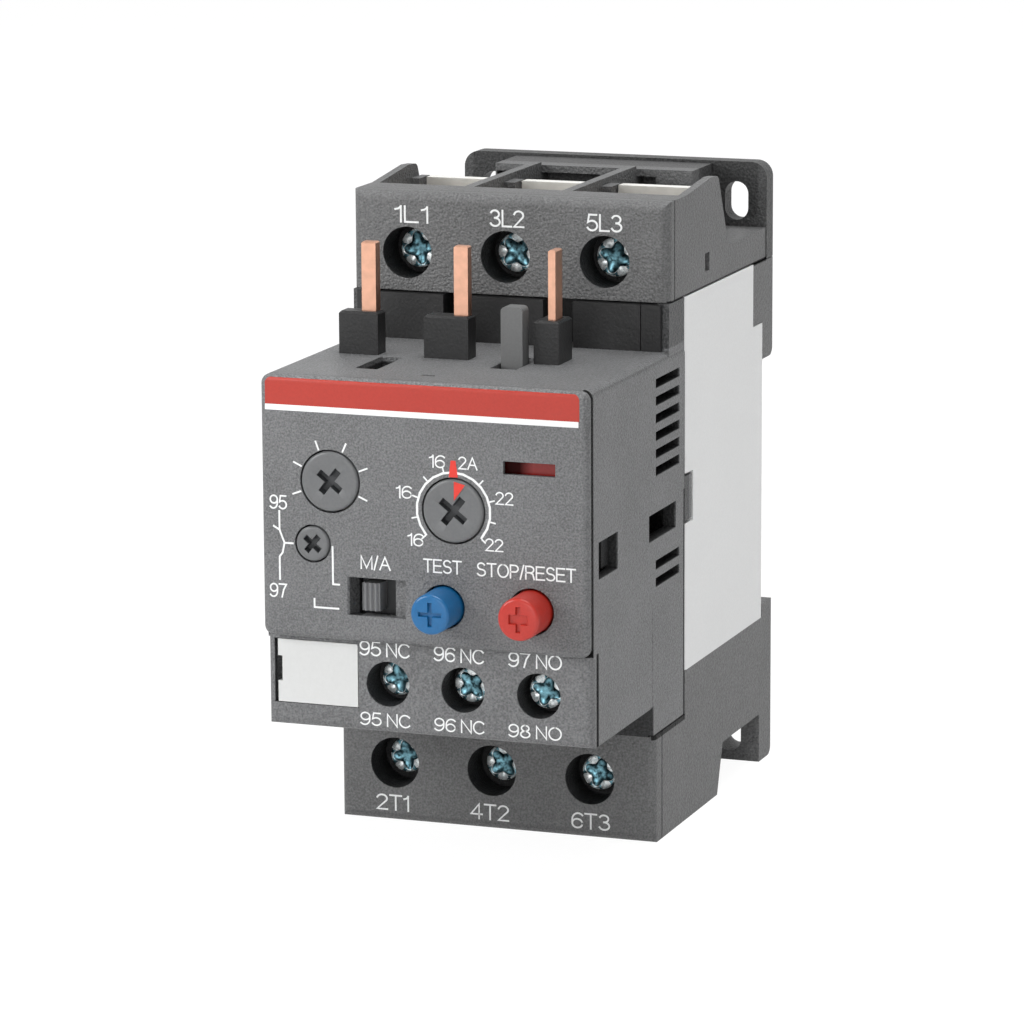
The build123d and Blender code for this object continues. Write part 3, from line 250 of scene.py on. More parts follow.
def coil(node, axis, radius, material):
    """A coil spring of round wire in its CAD node's place. Its middle line is a helix of four
    turns about a line along axis (0, 1 or 2)."""
    low, high = (np.array(corner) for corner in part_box(node))
    wire = (high[0] - low[0]) / 2 - radius
    first, second = (axis + 1) % 3, (axis + 2) % 3
    turn = np.linspace(0.0, 8.0 * np.pi, 161)
    rise = (high[axis] - low[axis] - 2.0 * wire) / turn[-1]
    outward = np.zeros((len(turn), 3))
    outward[:, first] = np.cos(turn)
    outward[:, second] = np.sin(turn)
    forward = np.zeros((len(turn), 3))
    forward[:, first] = -radius * np.sin(turn)
    forward[:, second] = radius * np.cos(turn)
    forward[:, axis] = rise
    across = np.cross(forward / math.hypot(radius, rise), outward)
    line = (low + high) / 2 + radius * outward
    line[:, axis] = low[axis] + wire + rise * turn
    around = np.linspace(0.0, 2.0 * np.pi, 12, endpoint=False)[None, :, None]
    grid = line[:, None] + wire * (np.cos(around) * outward[:, None] + np.sin(around) * across[:, None])
    rows, count = grid.shape[:2]
    ends = [list(range(count))[::-1], list(range((rows - 1) * count, rows * count))]
    mesh = bpy.data.meshes.new(node + "_coil")
    mesh.from_pydata(grid.reshape(-1, 3).tolist(), [], tube_faces(rows, count) + ends)
    piece = finish_piece(mesh, material, "base")
    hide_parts(node)
    anchor = (low + high) / 2
    anchor[axis] = low[axis] if axis == 2 else high[axis]
    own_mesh(piece)


spring_steel = metal("spring_steel", (0.55, 0.55, 0.56, 1.0), 0.25, 0.0001, 0.05, 1)
coil("clip_spring", 2, 0.001326, spring_steel)

# Current path inside: copper bars, resistance windings round the bimetal strips, and the
# natural insulating holder that the strips stand in. The windings carry the motor's current.
bar_copper = metal("bar_copper", (0.80, 0.43, 0.27, 1.0), 0.30, 0.00012, 0.08, 2)
winding_alloy = metal("winding_alloy", (0.45, 0.42, 0.38, 1.0), 0.40, 0.0001, 0.10, 0)
bimetal_alloy = metal("bimetal_alloy", (0.58, 0.55, 0.50, 1.0), 0.33, 0.0001, 0.06, 2)
insulating_moulding = moulded("insulating_moulding", (0.60, 0.57, 0.48, 1.0), 0.0004, 0.00001, 0.5, 0.04)
dress(bar_copper, "line_bars", "load_bars", "aux_contact_bars")
dress(winding_alloy, "heater_coils")
dress(bimetal_alloy, "bimetal_strips")
dress(spring_steel, "pivot_pins")
dress(insulating_moulding, "bimetal_holder", "mechanism_frame", "trip_slide", "trip_lever", "contact_rocker")

# Clamp cages: a bent and tapped steel tube in each terminal, nickel plated and bright.
# Turning a screw draws its cage forward, and the wire is clamped in it.
cage_nickel = metal("cage_nickel", (0.86, 0.85, 0.80, 1.0), 0.22, 0.00015, 0.05, 2)
cage_nodes = [f"{group}_cage_{i}" for group in ("line", "load", "aux") for i in (1, 2, 3)]
dress(cage_nickel, *cage_nodes)
cage_nickel.node_tree.nodes["Principled BSDF"].inputs["Metallic"].default_value = 0.45

# Relay case and front cover: dark grey thermoplastic with a fine leather grain outside.
# The cover snaps into the case on two side latches. Painted darkness stands in for shadow in
# the vents, the screw holes, the slider's recess, the steps, the side latches and the case's ears, and draws
# painted shadow lines along the seams.
cover_grey = (0.128, 0.130, 0.133, 1.0)

cover_moulding = moulded("cover_moulding", cover_grey, 0.00036, 0.000135, 0.48, 0.36)
dress(cover_moulding, "front_cover", "relay_case", "aux_terminal_block", "aux_terminal_cover")
for low, high, soft, amount in (
    ((0.0, 40.4, 32.4), (22.2, 76.9, 64.9), 0.3, 0.75),
    ((0.0, 54.0, 20.2), (21.6, 77.0, 30.2), 0.3, 0.70),
    ((21.4, 77.15, 31.0), (22.7, 77.95, 65.9), 0.12, 0.94),
    ((21.4, 75.20, 18.8), (22.7, 75.98, 31.1), 0.12, 0.94),
    ((21.9, 39.5, 14.7), (22.7, 40.20, 46.0), 0.15, 0.92),
    ((21.9, 39.5, 46.0), (22.7, 39.90, 66.0), 0.15, 0.60),
    ((21.9, 39.5, 14.7), (22.7, 53.5, 15.0), 0.12, 0.85),
    ((22.3, 37.5, 40.0), (22.7, 39.5, 56.0), 0.10, 0.50),
    ((8.8, 76.5, 34.6), (11.3, 78.7, 39.8), 0.12, 0.72),
    ((0.0, 52.9, 14.7), (22.6, 54.2, 19.0), 0.1, 0.70),
    ((20.5, 39.5, 66.2), (22.6, 47.5, 72.1), 0.2, 0.45),
):
    shade(cover_moulding, low, high, soft, amount)

# Side skirts: the case's sides run straight down onto the auxiliary block, so each lower corner
# of the case is filled square by a slim strip of the same moulding.


def prism_faces(count, first=0):
    """The faces of a prism: two outlines of count points each, the points of one after those of
    the other and numbered from first, with the sides between them."""
    far = first + count
    ends = [list(range(first, far)), list(range(far, far + count))[::-1]]
    return ends + [[first + i, far + i, far + (i + 1) % count, first + (i + 1) % count] for i in range(count)]


skirt_radius = 0.0013
skirt_swing = np.linspace(-math.pi / 2, 0.0, 9)
for side, name in ((-1, "skirt_left"), (1, "skirt_right")):
    skirt_x = 0.0225 - skirt_radius * np.concatenate([[0, 1], 1 - np.cos(skirt_swing)])
    skirt_z = np.concatenate([[0.0306, 0.0306], 0.0311 + skirt_radius * (1 + np.sin(skirt_swing))])
    skirt_points = [(side * (x - 0.00001), y, z)
                    for y in (-0.0772, -0.0533) for x, z in zip(skirt_x, skirt_z)]
    skirt_mesh = bpy.data.meshes.new(name)
    skirt_mesh.from_pydata(skirt_points, [], [face[::-side] for face in prism_faces(len(skirt_x))])
    skirt_mesh.materials.append(cover_moulding)
    skirt_piece = bpy.data.objects.new(name, skirt_mesh)
    bpy.context.scene.collection.objects.link(skirt_piece)
    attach(skirt_piece, "base")

# Barrier panels and pin sleeves: matt black mouldings pushed into the case's top.
# The panels stand between the case and the upper housing, and a sleeve round each pin.
dress(black_moulding, "barrier_insert", "pin_sleeve_left", "pin_sleeve_middle", "pin_sleeve_right")

# Contact pins: drawn copper bar, bare, each cut and bent to its own length.
# They stand in the sleeves on the case's top.
pin_copper = metal("pin_copper", (0.78, 0.44, 0.31, 1.0), 0.34, 0.00018, 0.07, 2)
dress(pin_copper, "contact_pin_left", "contact_pin_middle", "contact_pin_right")

# Coupling hook: smooth mid-grey moulding that slides forward to let the relay go.
# It stands in its own slot in the case's top.
hook_moulding = moulded("hook_moulding", (0.130, 0.132, 0.132, 1.0), 0.0004, 0.000008, 0.45, 0.05)
dress(hook_moulding, "coupling_hook")

# Marker plate: gloss white, clipped into a recess of the lower cover.
# Its face is bare.
marker_white = moulded("marker_white", (0.55, 0.555, 0.55, 1.0), 0.0006, 0.000002, 0.30, 0.015)
dress(marker_white, "marker_plate")

# Trip flag behind its window: a dark red strip that slides past the opening when the relay
# trips. The window's shadow on its left part is painted on as painted shade, so it moves along with the flag.
flag_red = moulded("flag_red", (0.20, 0.010, 0.008, 1.0), 0.0005, 0.000004, 0.25, 0.10)
shade(flag_red, (0.0, 70.0, 50.0), (12.9, 80.0, 60.0), 1.8, 0.90)
dress(flag_red, "trip_flag")

# Setting dials: grey discs with a cross recess for a driver, turned against a printed scale.
# Each is one moulding with its shaft, pressed through the cover from the front.
dial_moulding = moulded("dial_moulding", (0.120, 0.123, 0.126, 1.0), 0.0005, 0.000006, 0.36, 0.05)
# Painted shade: a darker copy of the dial's grey for the walls and floor of each cross recess.
recess_painted_shade = moulded("recess_painted_shade", (0.040, 0.042, 0.045, 1.0), 0.0004, 0.00001, 0.55, 0.10)


def recess_reach(theta, arms):
    """How far a star of crossing slots reaches from its middle at each angle: the largest, over
    the slots (angle, half length, half width), of min(length / |cos|, width / |sin|)."""
    reach = np.zeros_like(theta)
    for angle, length, width in arms:
        along = np.maximum(np.abs(np.cos(theta - angle)), 1e-6)
        across = np.maximum(np.abs(np.sin(theta - angle)), 1e-6)
        reach = np.maximum(reach, np.minimum(length / along, width / across))
    return reach


def corner_angles(arms, steps):
    """Angles round the circle: an even set, with those of every slot's corners put in."""
    even = np.linspace(0.0, 2.0 * np.pi, steps, endpoint=False)
    extra = []
    for angle, length, width in arms:
        lean = math.atan2(width, length)
        extra += [angle + side + half for half in (0.0, math.pi) for side in (-lean, lean)]
    for first in arms:
        for second in arms:
            if first is not second:
                turn = second[0] - first[0]
                inner = math.atan2(first[2] * math.sin(turn), second[2] + first[2] * math.cos(turn))
                extra += [first[0] + inner, first[0] + inner + math.pi]
    return np.unique(np.round(np.mod(np.concatenate([even, np.array(extra)]), 2.0 * np.pi), 6))


def driven_face(name, x, z, rings, theta):
    """A turned piece about a line along Y: rings of radius r(theta) at depth y, given from the
    back to the front and joined ring to ring, with the first and last closed by a fan to their
    middle point."""
    count = len(theta)
    grid = np.empty((len(rings), count, 3))
    for row, (radius, y) in zip(grid, rings):
        row[:, 0] = x + radius * np.cos(theta)
        row[:, 1] = y
        row[:, 2] = z + radius * np.sin(theta)
    middles = np.array([[x, rings[0][1], z], [x, rings[-1][1], z]])
    points = np.concatenate([grid.reshape(-1, 3), middles])
    back, front = len(points) - 2, len(points) - 1
    last = (len(rings) - 1) * count
    fans = ([((i + 1) % count, i, back) for i in range(count)]
            + [(last + i, last + (i + 1) % count, front) for i in range(count)])
    mesh = bpy.data.meshes.new(name)
    mesh.from_pydata(points.tolist(), [], tube_faces(len(rings), count) + fans)
    return mesh


def cross_dial(node, name, cross_length, cross_width, cross_turn, shaft_end):
    """A dial in its CAD node's place: a shaft, a disc with a shallow rolled rim, and a cross
    recess whose walls and floor take a darker copy of the moulding as painted shade. shaft_end is the
    depth of the shaft's inner end."""
    low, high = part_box(node)
    z = (high[2] + low[2]) / 2
    radius = (high[2] - low[2]) / 2
    x = low[0] + radius
    front = low[1]
    back = front + 0.00325
    deep = front + 0.0011
    shaft = 0.0016
    arms = [(cross_turn, cross_length, cross_width), (cross_turn + math.pi / 2, cross_length, cross_width)]
    theta = corner_angles(arms, 96)
    one = np.ones_like(theta)
    reach = recess_reach(theta, arms)
    rings = [(one * shaft, shaft_end), (one * shaft, back), (one * radius, back),
             (one * radius, front + 0.00035), (one * (radius - 0.00012), front + 0.00012),
             (one * (radius - 0.00035), front), (one * (radius - 0.00070), front + 0.00005),
             (reach + 0.00010, front + 0.00005), (reach, front + 0.00012),
             (reach * 0.94, deep - 0.00012), (reach * 0.88, deep)]
    mesh = driven_face(name, x, z, rings, theta)
    piece = finish_piece(mesh, dial_moulding, node)
    mesh.materials.append(recess_painted_shade)
    count = len(theta)
    # The recess's walls and floor take the painted shade.
    marks = np.zeros(len(mesh.polygons), dtype=np.int32)
    marks[8 * count:10 * count] = 1
    marks[-count:] = 1
    mesh.polygons.foreach_set("material_index", marks)
    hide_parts(node)
    return piece


dial_shaft_end = -0.0555
cross_dial("current_dial", "current_dial_face", 0.0021, 0.00050, math.radians(52), dial_shaft_end)
cross_dial("range_dial", "range_dial_face", 0.0019, 0.00048, math.radians(52), dial_shaft_end)
cross_dial("selector_dial", "selector_dial_face", 0.00135, 0.00038, math.radians(50), dial_shaft_end)

# Setting cam on the current dial's shaft: an eccentric collar that sets where the lever trips.
# It is of the dial's own moulding, with its edges broken.
cam_theta = np.linspace(0.0, 2.0 * np.pi, 64, endpoint=False)
cam_round = np.ones_like(cam_theta)
cam_rings = [(cam_round * 0.0016, -0.0670), (cam_round * 0.0029, -0.0670), (cam_round * 0.0030, -0.0671),
             (cam_round * 0.0030, -0.0699), (cam_round * 0.0029, -0.0700), (cam_round * 0.0016, -0.0700)]
setting_cam = finish_piece(driven_face("setting_cam", 0.0051, 0.0493, cam_rings, cam_theta),
                           dial_moulding, "current_dial")

# Mode slider: a dark plate behind the cover with a grey knob ribbed for a fingertip.
# The knob slides across its window, between two settings.
slider_dark = moulded("slider_dark", (0.022, 0.023, 0.025, 1.0), 0.0004, 0.000006, 0.45, 0.10)
slider_grey = moulded("slider_grey", (0.150, 0.152, 0.155, 1.0), 0.0004, 0.000006, 0.34, 0.05)
slider_low, slider_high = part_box("mode_slider")
knob_x = np.linspace(-0.0086, -0.0061, 37)
knob_y = -0.0790 + 0.00026 - 0.00016 * np.cos(2.0 * np.pi * (knob_x + 0.008075) / 0.0007)
knob_outline = [(-0.0061, -0.0763)] + list(zip(knob_x, knob_y))[::-1] + [(-0.0086, -0.0763)]
plate_outline = [(slider_low[0], slider_high[1]), (slider_high[0], slider_high[1]),
                 (slider_high[0], -0.0763), (slider_low[0], -0.0763)]


def prism(outline, z0, z1, first):
    """A closed (x, y) outline, given clockwise seen from above, carried up from z0 to z1, with
    its points numbered from first."""
    points = [(x, y, z) for z in (z0, z1) for x, y in outline]
    return points, prism_faces(len(outline), first)


plate_points, plate_faces = prism(plate_outline, slider_low[2], slider_high[2], 0)
knob_points, knob_faces = prism(knob_outline, 0.03535, 0.03900, len(plate_points))
slider_mesh = bpy.data.meshes.new("mode_slider_ribbed")
slider_mesh.from_pydata(plate_points + knob_points, [], plate_faces + knob_faces)
slider_piece = finish_piece(slider_mesh, slider_dark, "mode_slider")
slider_mesh.materials.append(slider_grey)
slider_mesh.polygons.foreach_set("material_index", [0] * len(plate_faces) + [1] * len(knob_faces))
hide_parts("mode_slider")

# Red pointer on the current dial: a wedge printed from the rim towards the cross.
# The ink lies 0.02 mm thick on the face, so it catches the light as one flat mark.
print_red = moulded("print_red", (0.62, 0.030, 0.018, 1.0), 0.0006, 0.000002, 0.38, 0.03)


def printed(name, outlines, y, body, material, layers=None):
    """Ink or a raised mark on a face that looks forward: closed outlines of (x, z) points in mm,
    each filled flat 0.02 mm in front of depth y (m), and 0.005 mm more for each layer up."""
    points = []
    faces = []
    for outline, layer in zip(outlines, layers or [0] * len(outlines)):
        thickness = 0.00002 + 0.000005 * layer
        flat = np.array(outline) / 1000.0
        turn = np.sum(flat[:, 0] * np.roll(flat[:, 1], -1) - np.roll(flat[:, 0], -1) * flat[:, 1])
        if turn < 0:
            flat = flat[::-1]
        faces += prism_faces(len(flat), len(points))
        points += [(a, y - thickness, b) for a, b in flat] + [(a, y, b) for a, b in flat]
    mesh = bpy.data.meshes.new(name)
    mesh.from_pydata(points, [], faces)
    piece = finish_piece(mesh, material, body)
    return piece


dial_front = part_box("current_dial")[0][1]
printed("dial_pointer", [[(4.38, 50.7), (4.38, 53.2), (5.90, 52.8)]], dial_front - 0.00003,
        "current_dial", print_red)

# Push buttons: blue for test and red for stop and reset, glossy mouldings that stand 5 mm proud.
# Each has a collar behind the cover, a stem in its bearing and a shallow plus in its front.
button_blue = moulded("button_blue", (0.005, 0.105, 0.270, 1.0), 0.0006, 0.000004, 0.32, 0.06)
button_red = moulded("button_red", (0.410, 0.022, 0.013, 1.0), 0.0006, 0.000004, 0.34, 0.06)


def push_button(node, name, material, arms, depth):
    """A button in its CAD node's place: stem, collar, cap with a soft rim, and a plus recess
    depth deep in the front whose arms are given as (angle, half length, half width)."""
    low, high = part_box(node)
    x = (high[0] + low[0]) / 2
    z = (high[2] + low[2]) / 2
    collar = (high[0] - low[0]) / 2
    cap = collar - 0.0007
    front = low[1]
    stem_end = high[1]
    collar_back = -0.0750
    collar_front = -0.0763
    theta = corner_angles(arms, 96)
    one = np.ones_like(theta)
    reach = recess_reach(theta, arms)
    rings = [(one * 0.0013, stem_end), (one * 0.0013, collar_back), (one * collar, collar_back),
             (one * collar, collar_front), (one * cap, collar_front), (one * cap, front + 0.00045),
             (one * (cap - 0.00006), front + 0.00022), (one * (cap - 0.00020), front + 0.00006),
             (one * (cap - 0.00042), front), (reach + 0.00008, front), (reach, front + 0.00008),
             (reach * 0.96, front + depth)]
    mesh = driven_face(name, x, z, rings, theta)
    piece = finish_piece(mesh, material, node)
    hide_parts(node)
    return piece


quarter = math.pi / 2
push_button("test_button", "test_button_cap", button_blue,
            [(0.0, 0.00155, 0.00027), (quarter, 0.00155, 0.00027)], 0.00045)
push_button("reset_button", "reset_button_cap", button_red,
            [(0.0, 0.00125, 0.00060), (quarter, 0.00165, 0.00030)], 0.00040)
coil("test_spring", 1, 0.00205, spring_steel)
coil("reset_spring", 1, 0.00205, spring_steel)

# Terminal screws: low cheese-headed steel screws, blue zinc plated. The wide four-pointed recess
# takes a cross or a flat blade. The plating's teal, darkened as painted shade, covers the head's side,
# the recess and the face between the glints, and a near-white copy of the zinc paints glints on the
# rim, the recess's edge and spots of the chamfer and the lands.
screw_zinc_glint = metal("screw_zinc_glint", (0.72, 0.82, 0.84, 1.0), 0.28, 0.00030, 0.35, 1, 1900.0)
screw_zinc_glint.node_tree.nodes["Principled BSDF"].inputs["Metallic"].default_value = 0.55
screw_zinc_teal_shaded = metal("screw_zinc_teal_shaded", (0.115, 0.235, 0.280, 1.0), 0.32, 0.00016, 0.85, 1, 1700.0)


def terminal_screw(node, name, pitch, head, sunk, turn):
    """A screw in its CAD node's place: threaded shank, head of a radius, sunk below the node's
    front, and a star recess. The recess reaches head * (0.50 + 0.34 * |cos(2 (theta - turn))|^2)
    from its middle, and the thread is rings that swell and sink every pitch."""
    low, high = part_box(node)
    x = (high[0] + low[0]) / 2
    z = (high[2] + low[2]) / 2
    bearing = (high[0] - low[0]) / 2 * 0.71
    shank = (high[0] - low[0]) / 2 * 0.64
    front = low[1] + sunk
    tip = high[1]
    neck = low[1] + bearing
    deep = front + head * 0.15
    theta = np.linspace(0.0, 2.0 * np.pi, 96, endpoint=False)
    one = np.ones_like(theta)
    star = head * (0.50 + 0.34 * np.cos(2.0 * (theta - turn)) ** 2)
    threads = int((tip - neck - 0.0010) / pitch)
    rings = [(one * shank * 0.72, tip), (one * shank * 0.97, tip - 0.0004)]
    for turn_index in range(threads):
        crest = tip - 0.0005 - pitch * turn_index
        rings += [(one * shank, crest - pitch * 0.25), (one * shank * 0.86, crest - pitch * 0.75)]
    rings += [(one * shank * 0.97, neck + 0.0003), (one * shank * 0.97, neck), (one * head * 0.97, neck),
              (one * head, neck - 0.0001), (one * head, front + head * 0.10)]
    plain = len(rings)
    rings += [(one * head * 0.97, front + head * 0.03), (one * head * 0.90, front),
              (star + 0.00010, front + 0.00001), (star, front + 0.00008),
              (star * 0.80, deep - 0.0001), (star * 0.30, deep)]
    mesh = driven_face(name, x, z, rings, theta)
    piece = finish_piece(mesh, screw_zinc_glint, node)
    mesh.materials.append(screw_zinc_teal_shaded)
    count = len(theta)
    # Index 1 puts the shaded teal on the shank, the head's side, the recess and the face between the glints;
    # the faces left at 0 take the painted glints.
    marks = np.zeros(len(mesh.polygons), dtype=np.int32)
    between = np.cos(4.0 * (theta + np.pi / count - turn))
    marks[:(plain - 1) * count] = 1
    marks[plain * count:(plain + 1) * count] = np.abs(between) < 0.45
    marks[(plain + 1) * count:(plain + 2) * count] = between > -0.15
    marks[(plain + 3) * count:] = 1
    mesh.polygons.foreach_set("material_index", marks)
    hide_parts(node)
    return piece


for group, pitch, head, sinks in (("line", 0.0007, 0.00270, (0.0012, 0.0012, 0.0012)),
                                  ("load", 0.0007, 0.00245, (0.0012, 0.0012, 0.0006)),
                                  ("aux", 0.0006, 0.00235, (0.0010, 0.0003, 0.0001))):
    for i, sunk in enumerate(sinks, start=1):
        terminal_screw(f"{group}_screw_{i}", f"{group}_screw_{i}_turned", pitch, head, sunk,
                       math.radians(31.0 * i - 20.0))

# Red band along the cover's top with a white line under it: hot-stamped foil that follows the
# rounded top edge.
print_white = moulded("print_white", (0.74, 0.75, 0.75, 1.0), 0.0006, 0.000002, 0.42, 0.03)
band_red = moulded("band_red", (0.370, 0.026, 0.014, 1.0), 0.00040, 0.000012, 0.42, 0.05)


def band(name, x0, x1, z0, z1, corner, material):
    """A strip on the cover's face from x0 to x1 and z0 to z1, its top corners rounded by corner.
    Where it passes the start of the cover's rounded edge it follows that edge's arc."""
    face = -0.0790
    lift = 0.00002
    edge_start = 0.0648
    edge_radius = 0.0009
    swing = np.linspace(0.0, math.pi / 2, 13)
    heights = np.concatenate([[z0], z1 - corner + corner * np.sin(swing)])
    inset = np.concatenate([[0.0], corner * (1.0 - np.cos(swing))])
    over = np.clip(heights - edge_start, 0.0, edge_radius)
    depths = face - lift + edge_radius - np.sqrt(edge_radius ** 2 - over ** 2)
    across = np.linspace(0.0, 1.0, 12)
    grid = np.empty((len(heights), len(across), 3))
    grid[:, :, 0] = (x0 + inset)[:, None] + across[None, :] * (x1 - x0 - 2.0 * inset)[:, None]
    grid[:, :, 1] = depths[:, None]
    grid[:, :, 2] = heights[:, None]
    rows, columns = np.meshgrid(np.arange(len(heights) - 1), np.arange(len(across) - 1), indexing="ij")
    first = (rows * len(across) + columns).ravel()
    faces = np.stack([first, first + 1, first + len(across) + 1, first + len(across)], axis=1)
    mesh = bpy.data.meshes.new(name)
    mesh.from_pydata(grid.reshape(-1, 3).tolist(), [], faces.tolist())
    piece = finish_piece(mesh, material, "base")
    return piece


band("red_band", -0.02172, 0.02130, 0.06184, 0.06535, 0.00080, band_red)
band("white_line", -0.02174, 0.02118, 0.06108, 0.06184, 0.0, print_white)

# Printing on the cover and blocks: white ink, pad printed. Scales round the dials, the contact
# symbol, two corner lines, plain numbers, and the usual terminal and button markings.
face_y = -0.0790
dial_x = 4.2
dial_z = 49.3
scale_radius = 5.15


def ribbon(points, half):
    """An even ribbon along a line of points, as one four-sided outline for each run of the line.
    Corners are mitred up to twice the half width, and each end runs on by the half width."""
    line = np.array(points)
    run = np.diff(line, axis=0)
    run /= np.hypot(run[:, 0], run[:, 1])[:, None]
    line[0] -= run[0] * half
    line[-1] += run[-1] * half
    side = np.stack([-run[:, 1], run[:, 0]], axis=1)
    lean = np.concatenate([side[:1], side[:-1] + side[1:], side[-1:]])
    lean /= np.maximum(np.hypot(lean[:, 0], lean[:, 1]), 1e-6)[:, None]
    cosine = np.maximum(np.sum(lean * np.concatenate([side[:1], side]), axis=1), 0.5)
    offset = lean * (half / cosine)[:, None]
    left = line + offset
    right = line - offset
    return np.stack([left[:-1], left[1:], right[1:], right[:-1]], axis=1).tolist()


def bow(x, z, across, rise, start, end):
    """Points along part of an oval, start to end in degrees."""
    angles = np.radians(np.linspace(start, end, max(4, int(abs(end - start) / 15))))
    return list(zip(x + across * np.cos(angles), z + rise * np.sin(angles)))


mark_lines = [(bow(dial_x, dial_z, scale_radius - 0.12, scale_radius - 0.12, -40.5, 221.0), 0.15)]
for k in (0, 1, 2, 3, 5, 6, 7, 8, 9):
    tick = math.radians(-41.9 + 29.3 * k)
    mark_lines.append(([(dial_x + r * math.cos(tick), dial_z + r * math.sin(tick))
                        for r in (5.25, 5.80)], 0.10))
for k in range(6):
    tick = math.radians(-23.6 + 44.8 * k)
    mark_lines.append(([(-12.8 + r * math.cos(tick), 52.1 + r * math.sin(tick)) for r in (4.4, 5.5)], 0.11))
for line in ([(-19.95, 47.75), (-19.95, 45.3), (-19.28, 43.6), (-18.1, 43.6)],
             [(-20.75, 45.75), (-19.95, 45.3)],
             [(-19.28, 43.6), (-19.55, 42.3), (-19.98, 41.75), (-19.98, 38.75)],
             [(-12.55, 43.5), (-12.55, 38.56), (-11.7, 38.56)],
             [(-15.18, 36.44), (-15.18, 35.35), (-11.85, 35.35)]):
    mark_lines.append((line, 0.12))
mark_quads = [(quad, layer % 4) for layer, (line, half) in enumerate(mark_lines)
              for quad in ribbon(line, half)]
printed("cover_marks", [quad for quad, layer in mark_quads], face_y - 0.000005, "base",
        print_white, [layer for quad, layer in mark_quads])
printed("fixed_tip", [[(3.61, 53.69), (4.84, 53.69), (4.53, 55.86), (3.87, 55.86)]], face_y - 0.00002,
        "base", print_red)


letters = {
    "1": (0.18, [[(0.0, 0.80), (0.10, 0.85), (0.17, 0.97)], [(0.18, 0.0), (0.18, 1.0)]]),
    "2": (0.46, [bow(0.23, 0.74, 0.22, 0.26, 165, -32) + [(0.01, 0.0), (0.46, 0.0)]]),
    "3": (0.46, [bow(0.22, 0.76, 0.20, 0.24, 155, -90), bow(0.23, 0.26, 0.23, 0.26, 90, -158)]),
    "4": (0.50, [[(0.37, 0.0), (0.37, 1.0), (0.0, 0.30), (0.50, 0.30)]]),
    "5": (0.46, [[(0.42, 1.0), (0.08, 1.0), (0.02, 0.52)] + bow(0.22, 0.31, 0.24, 0.31, 120, -152)]),
    "6": (0.46, [bow(0.23, 0.30, 0.23, 0.30, 0, 360), bow(0.27, 0.56, 0.27, 0.44, 45, 180) + [(0.0, 0.30)]]),
    "7": (0.46, [[(0.0, 1.0), (0.46, 1.0), (0.28, 0.58), (0.17, 0.0)]]),
    "8": (0.46, [bow(0.23, 0.76, 0.19, 0.24, 90, 450), bow(0.23, 0.26, 0.23, 0.26, 90, 450)]),
    "9": (0.46, [bow(0.23, 0.70, 0.23, 0.30, 0, 360),
                 bow(0.19, 0.44, 0.27, 0.44, 225, 360) + [(0.46, 0.70)]]),
    "A": (0.58, [[(0.0, 0.0), (0.29, 1.0), (0.58, 0.0)], [(0.12, 0.36), (0.46, 0.36)]]),
    "C": (0.56, [bow(0.30, 0.50, 0.30, 0.50, 42, 318)]),
    "E": (0.47, [[(0.46, 1.0), (0.0, 1.0), (0.0, 0.0), (0.47, 0.0)], [(0.0, 0.52), (0.42, 0.52)]]),
    "L": (0.42, [[(0.0, 1.0), (0.0, 0.0), (0.42, 0.0)]]),
    "M": (0.62, [[(0.0, 0.0), (0.0, 1.0), (0.31, 0.05), (0.62, 1.0), (0.62, 0.0)]]),
    "N": (0.50, [[(0.0, 0.0), (0.0, 1.0), (0.50, 0.0), (0.50, 1.0)]]),
    "O": (0.62, [bow(0.31, 0.50, 0.31, 0.50, 90, 450)]),
    "P": (0.46, [[(0.0, 0.0), (0.0, 1.0), (0.24, 1.0)]
                 + bow(0.26, 0.74, 0.20, 0.26, 90, -90) + [(0.0, 0.48)]]),
    "R": (0.50, [[(0.0, 0.0), (0.0, 1.0), (0.25, 1.0)]
                 + bow(0.27, 0.75, 0.20, 0.25, 90, -90) + [(0.0, 0.50)],
                 [(0.26, 0.50), (0.42, 0.40), (0.49, 0.0)]]),
    "S": (0.48, [bow(0.24, 0.75, 0.21, 0.25, 28, 262) + bow(0.24, 0.25, 0.24, 0.25, 82, -152)]),
    "T": (0.50, [[(0.0, 1.0), (0.50, 1.0)], [(0.25, 0.0), (0.25, 0.98)]]),
    "/": (0.20, [[(0.0, -0.04), (0.20, 1.04)]]),
}


def lettering(name, words, left, base, cap, width, y, body="base"):
    """Printed words in a plain narrow face: ribbons along each sign's strokes, cap (mm) high and
    width (mm) wide in all, from the point left, base (mm), facing the front at depth y (m)."""
    half = cap * 0.054
    gap = 0.13
    space = 0.22
    lines = []
    pen = 0.0
    for sign in words:
        if sign == " ":
            pen += space
            continue
        advance, strokes = letters[sign]
        lines += [([(pen + a, b) for a, b in line], layer) for layer, line in enumerate(strokes)]
        pen += advance + gap
    across = (width - 2.0 * half) / (pen - gap)
    rise = cap - 2.0 * half
    quads = [(quad, layer) for line, layer in lines
             for quad in ribbon([(left + half + a * across, base + half + b * rise) for a, b in line], half)]
    return printed(name, [quad for quad, layer in quads], y, body, print_white,
                   [layer for quad, layer in quads])


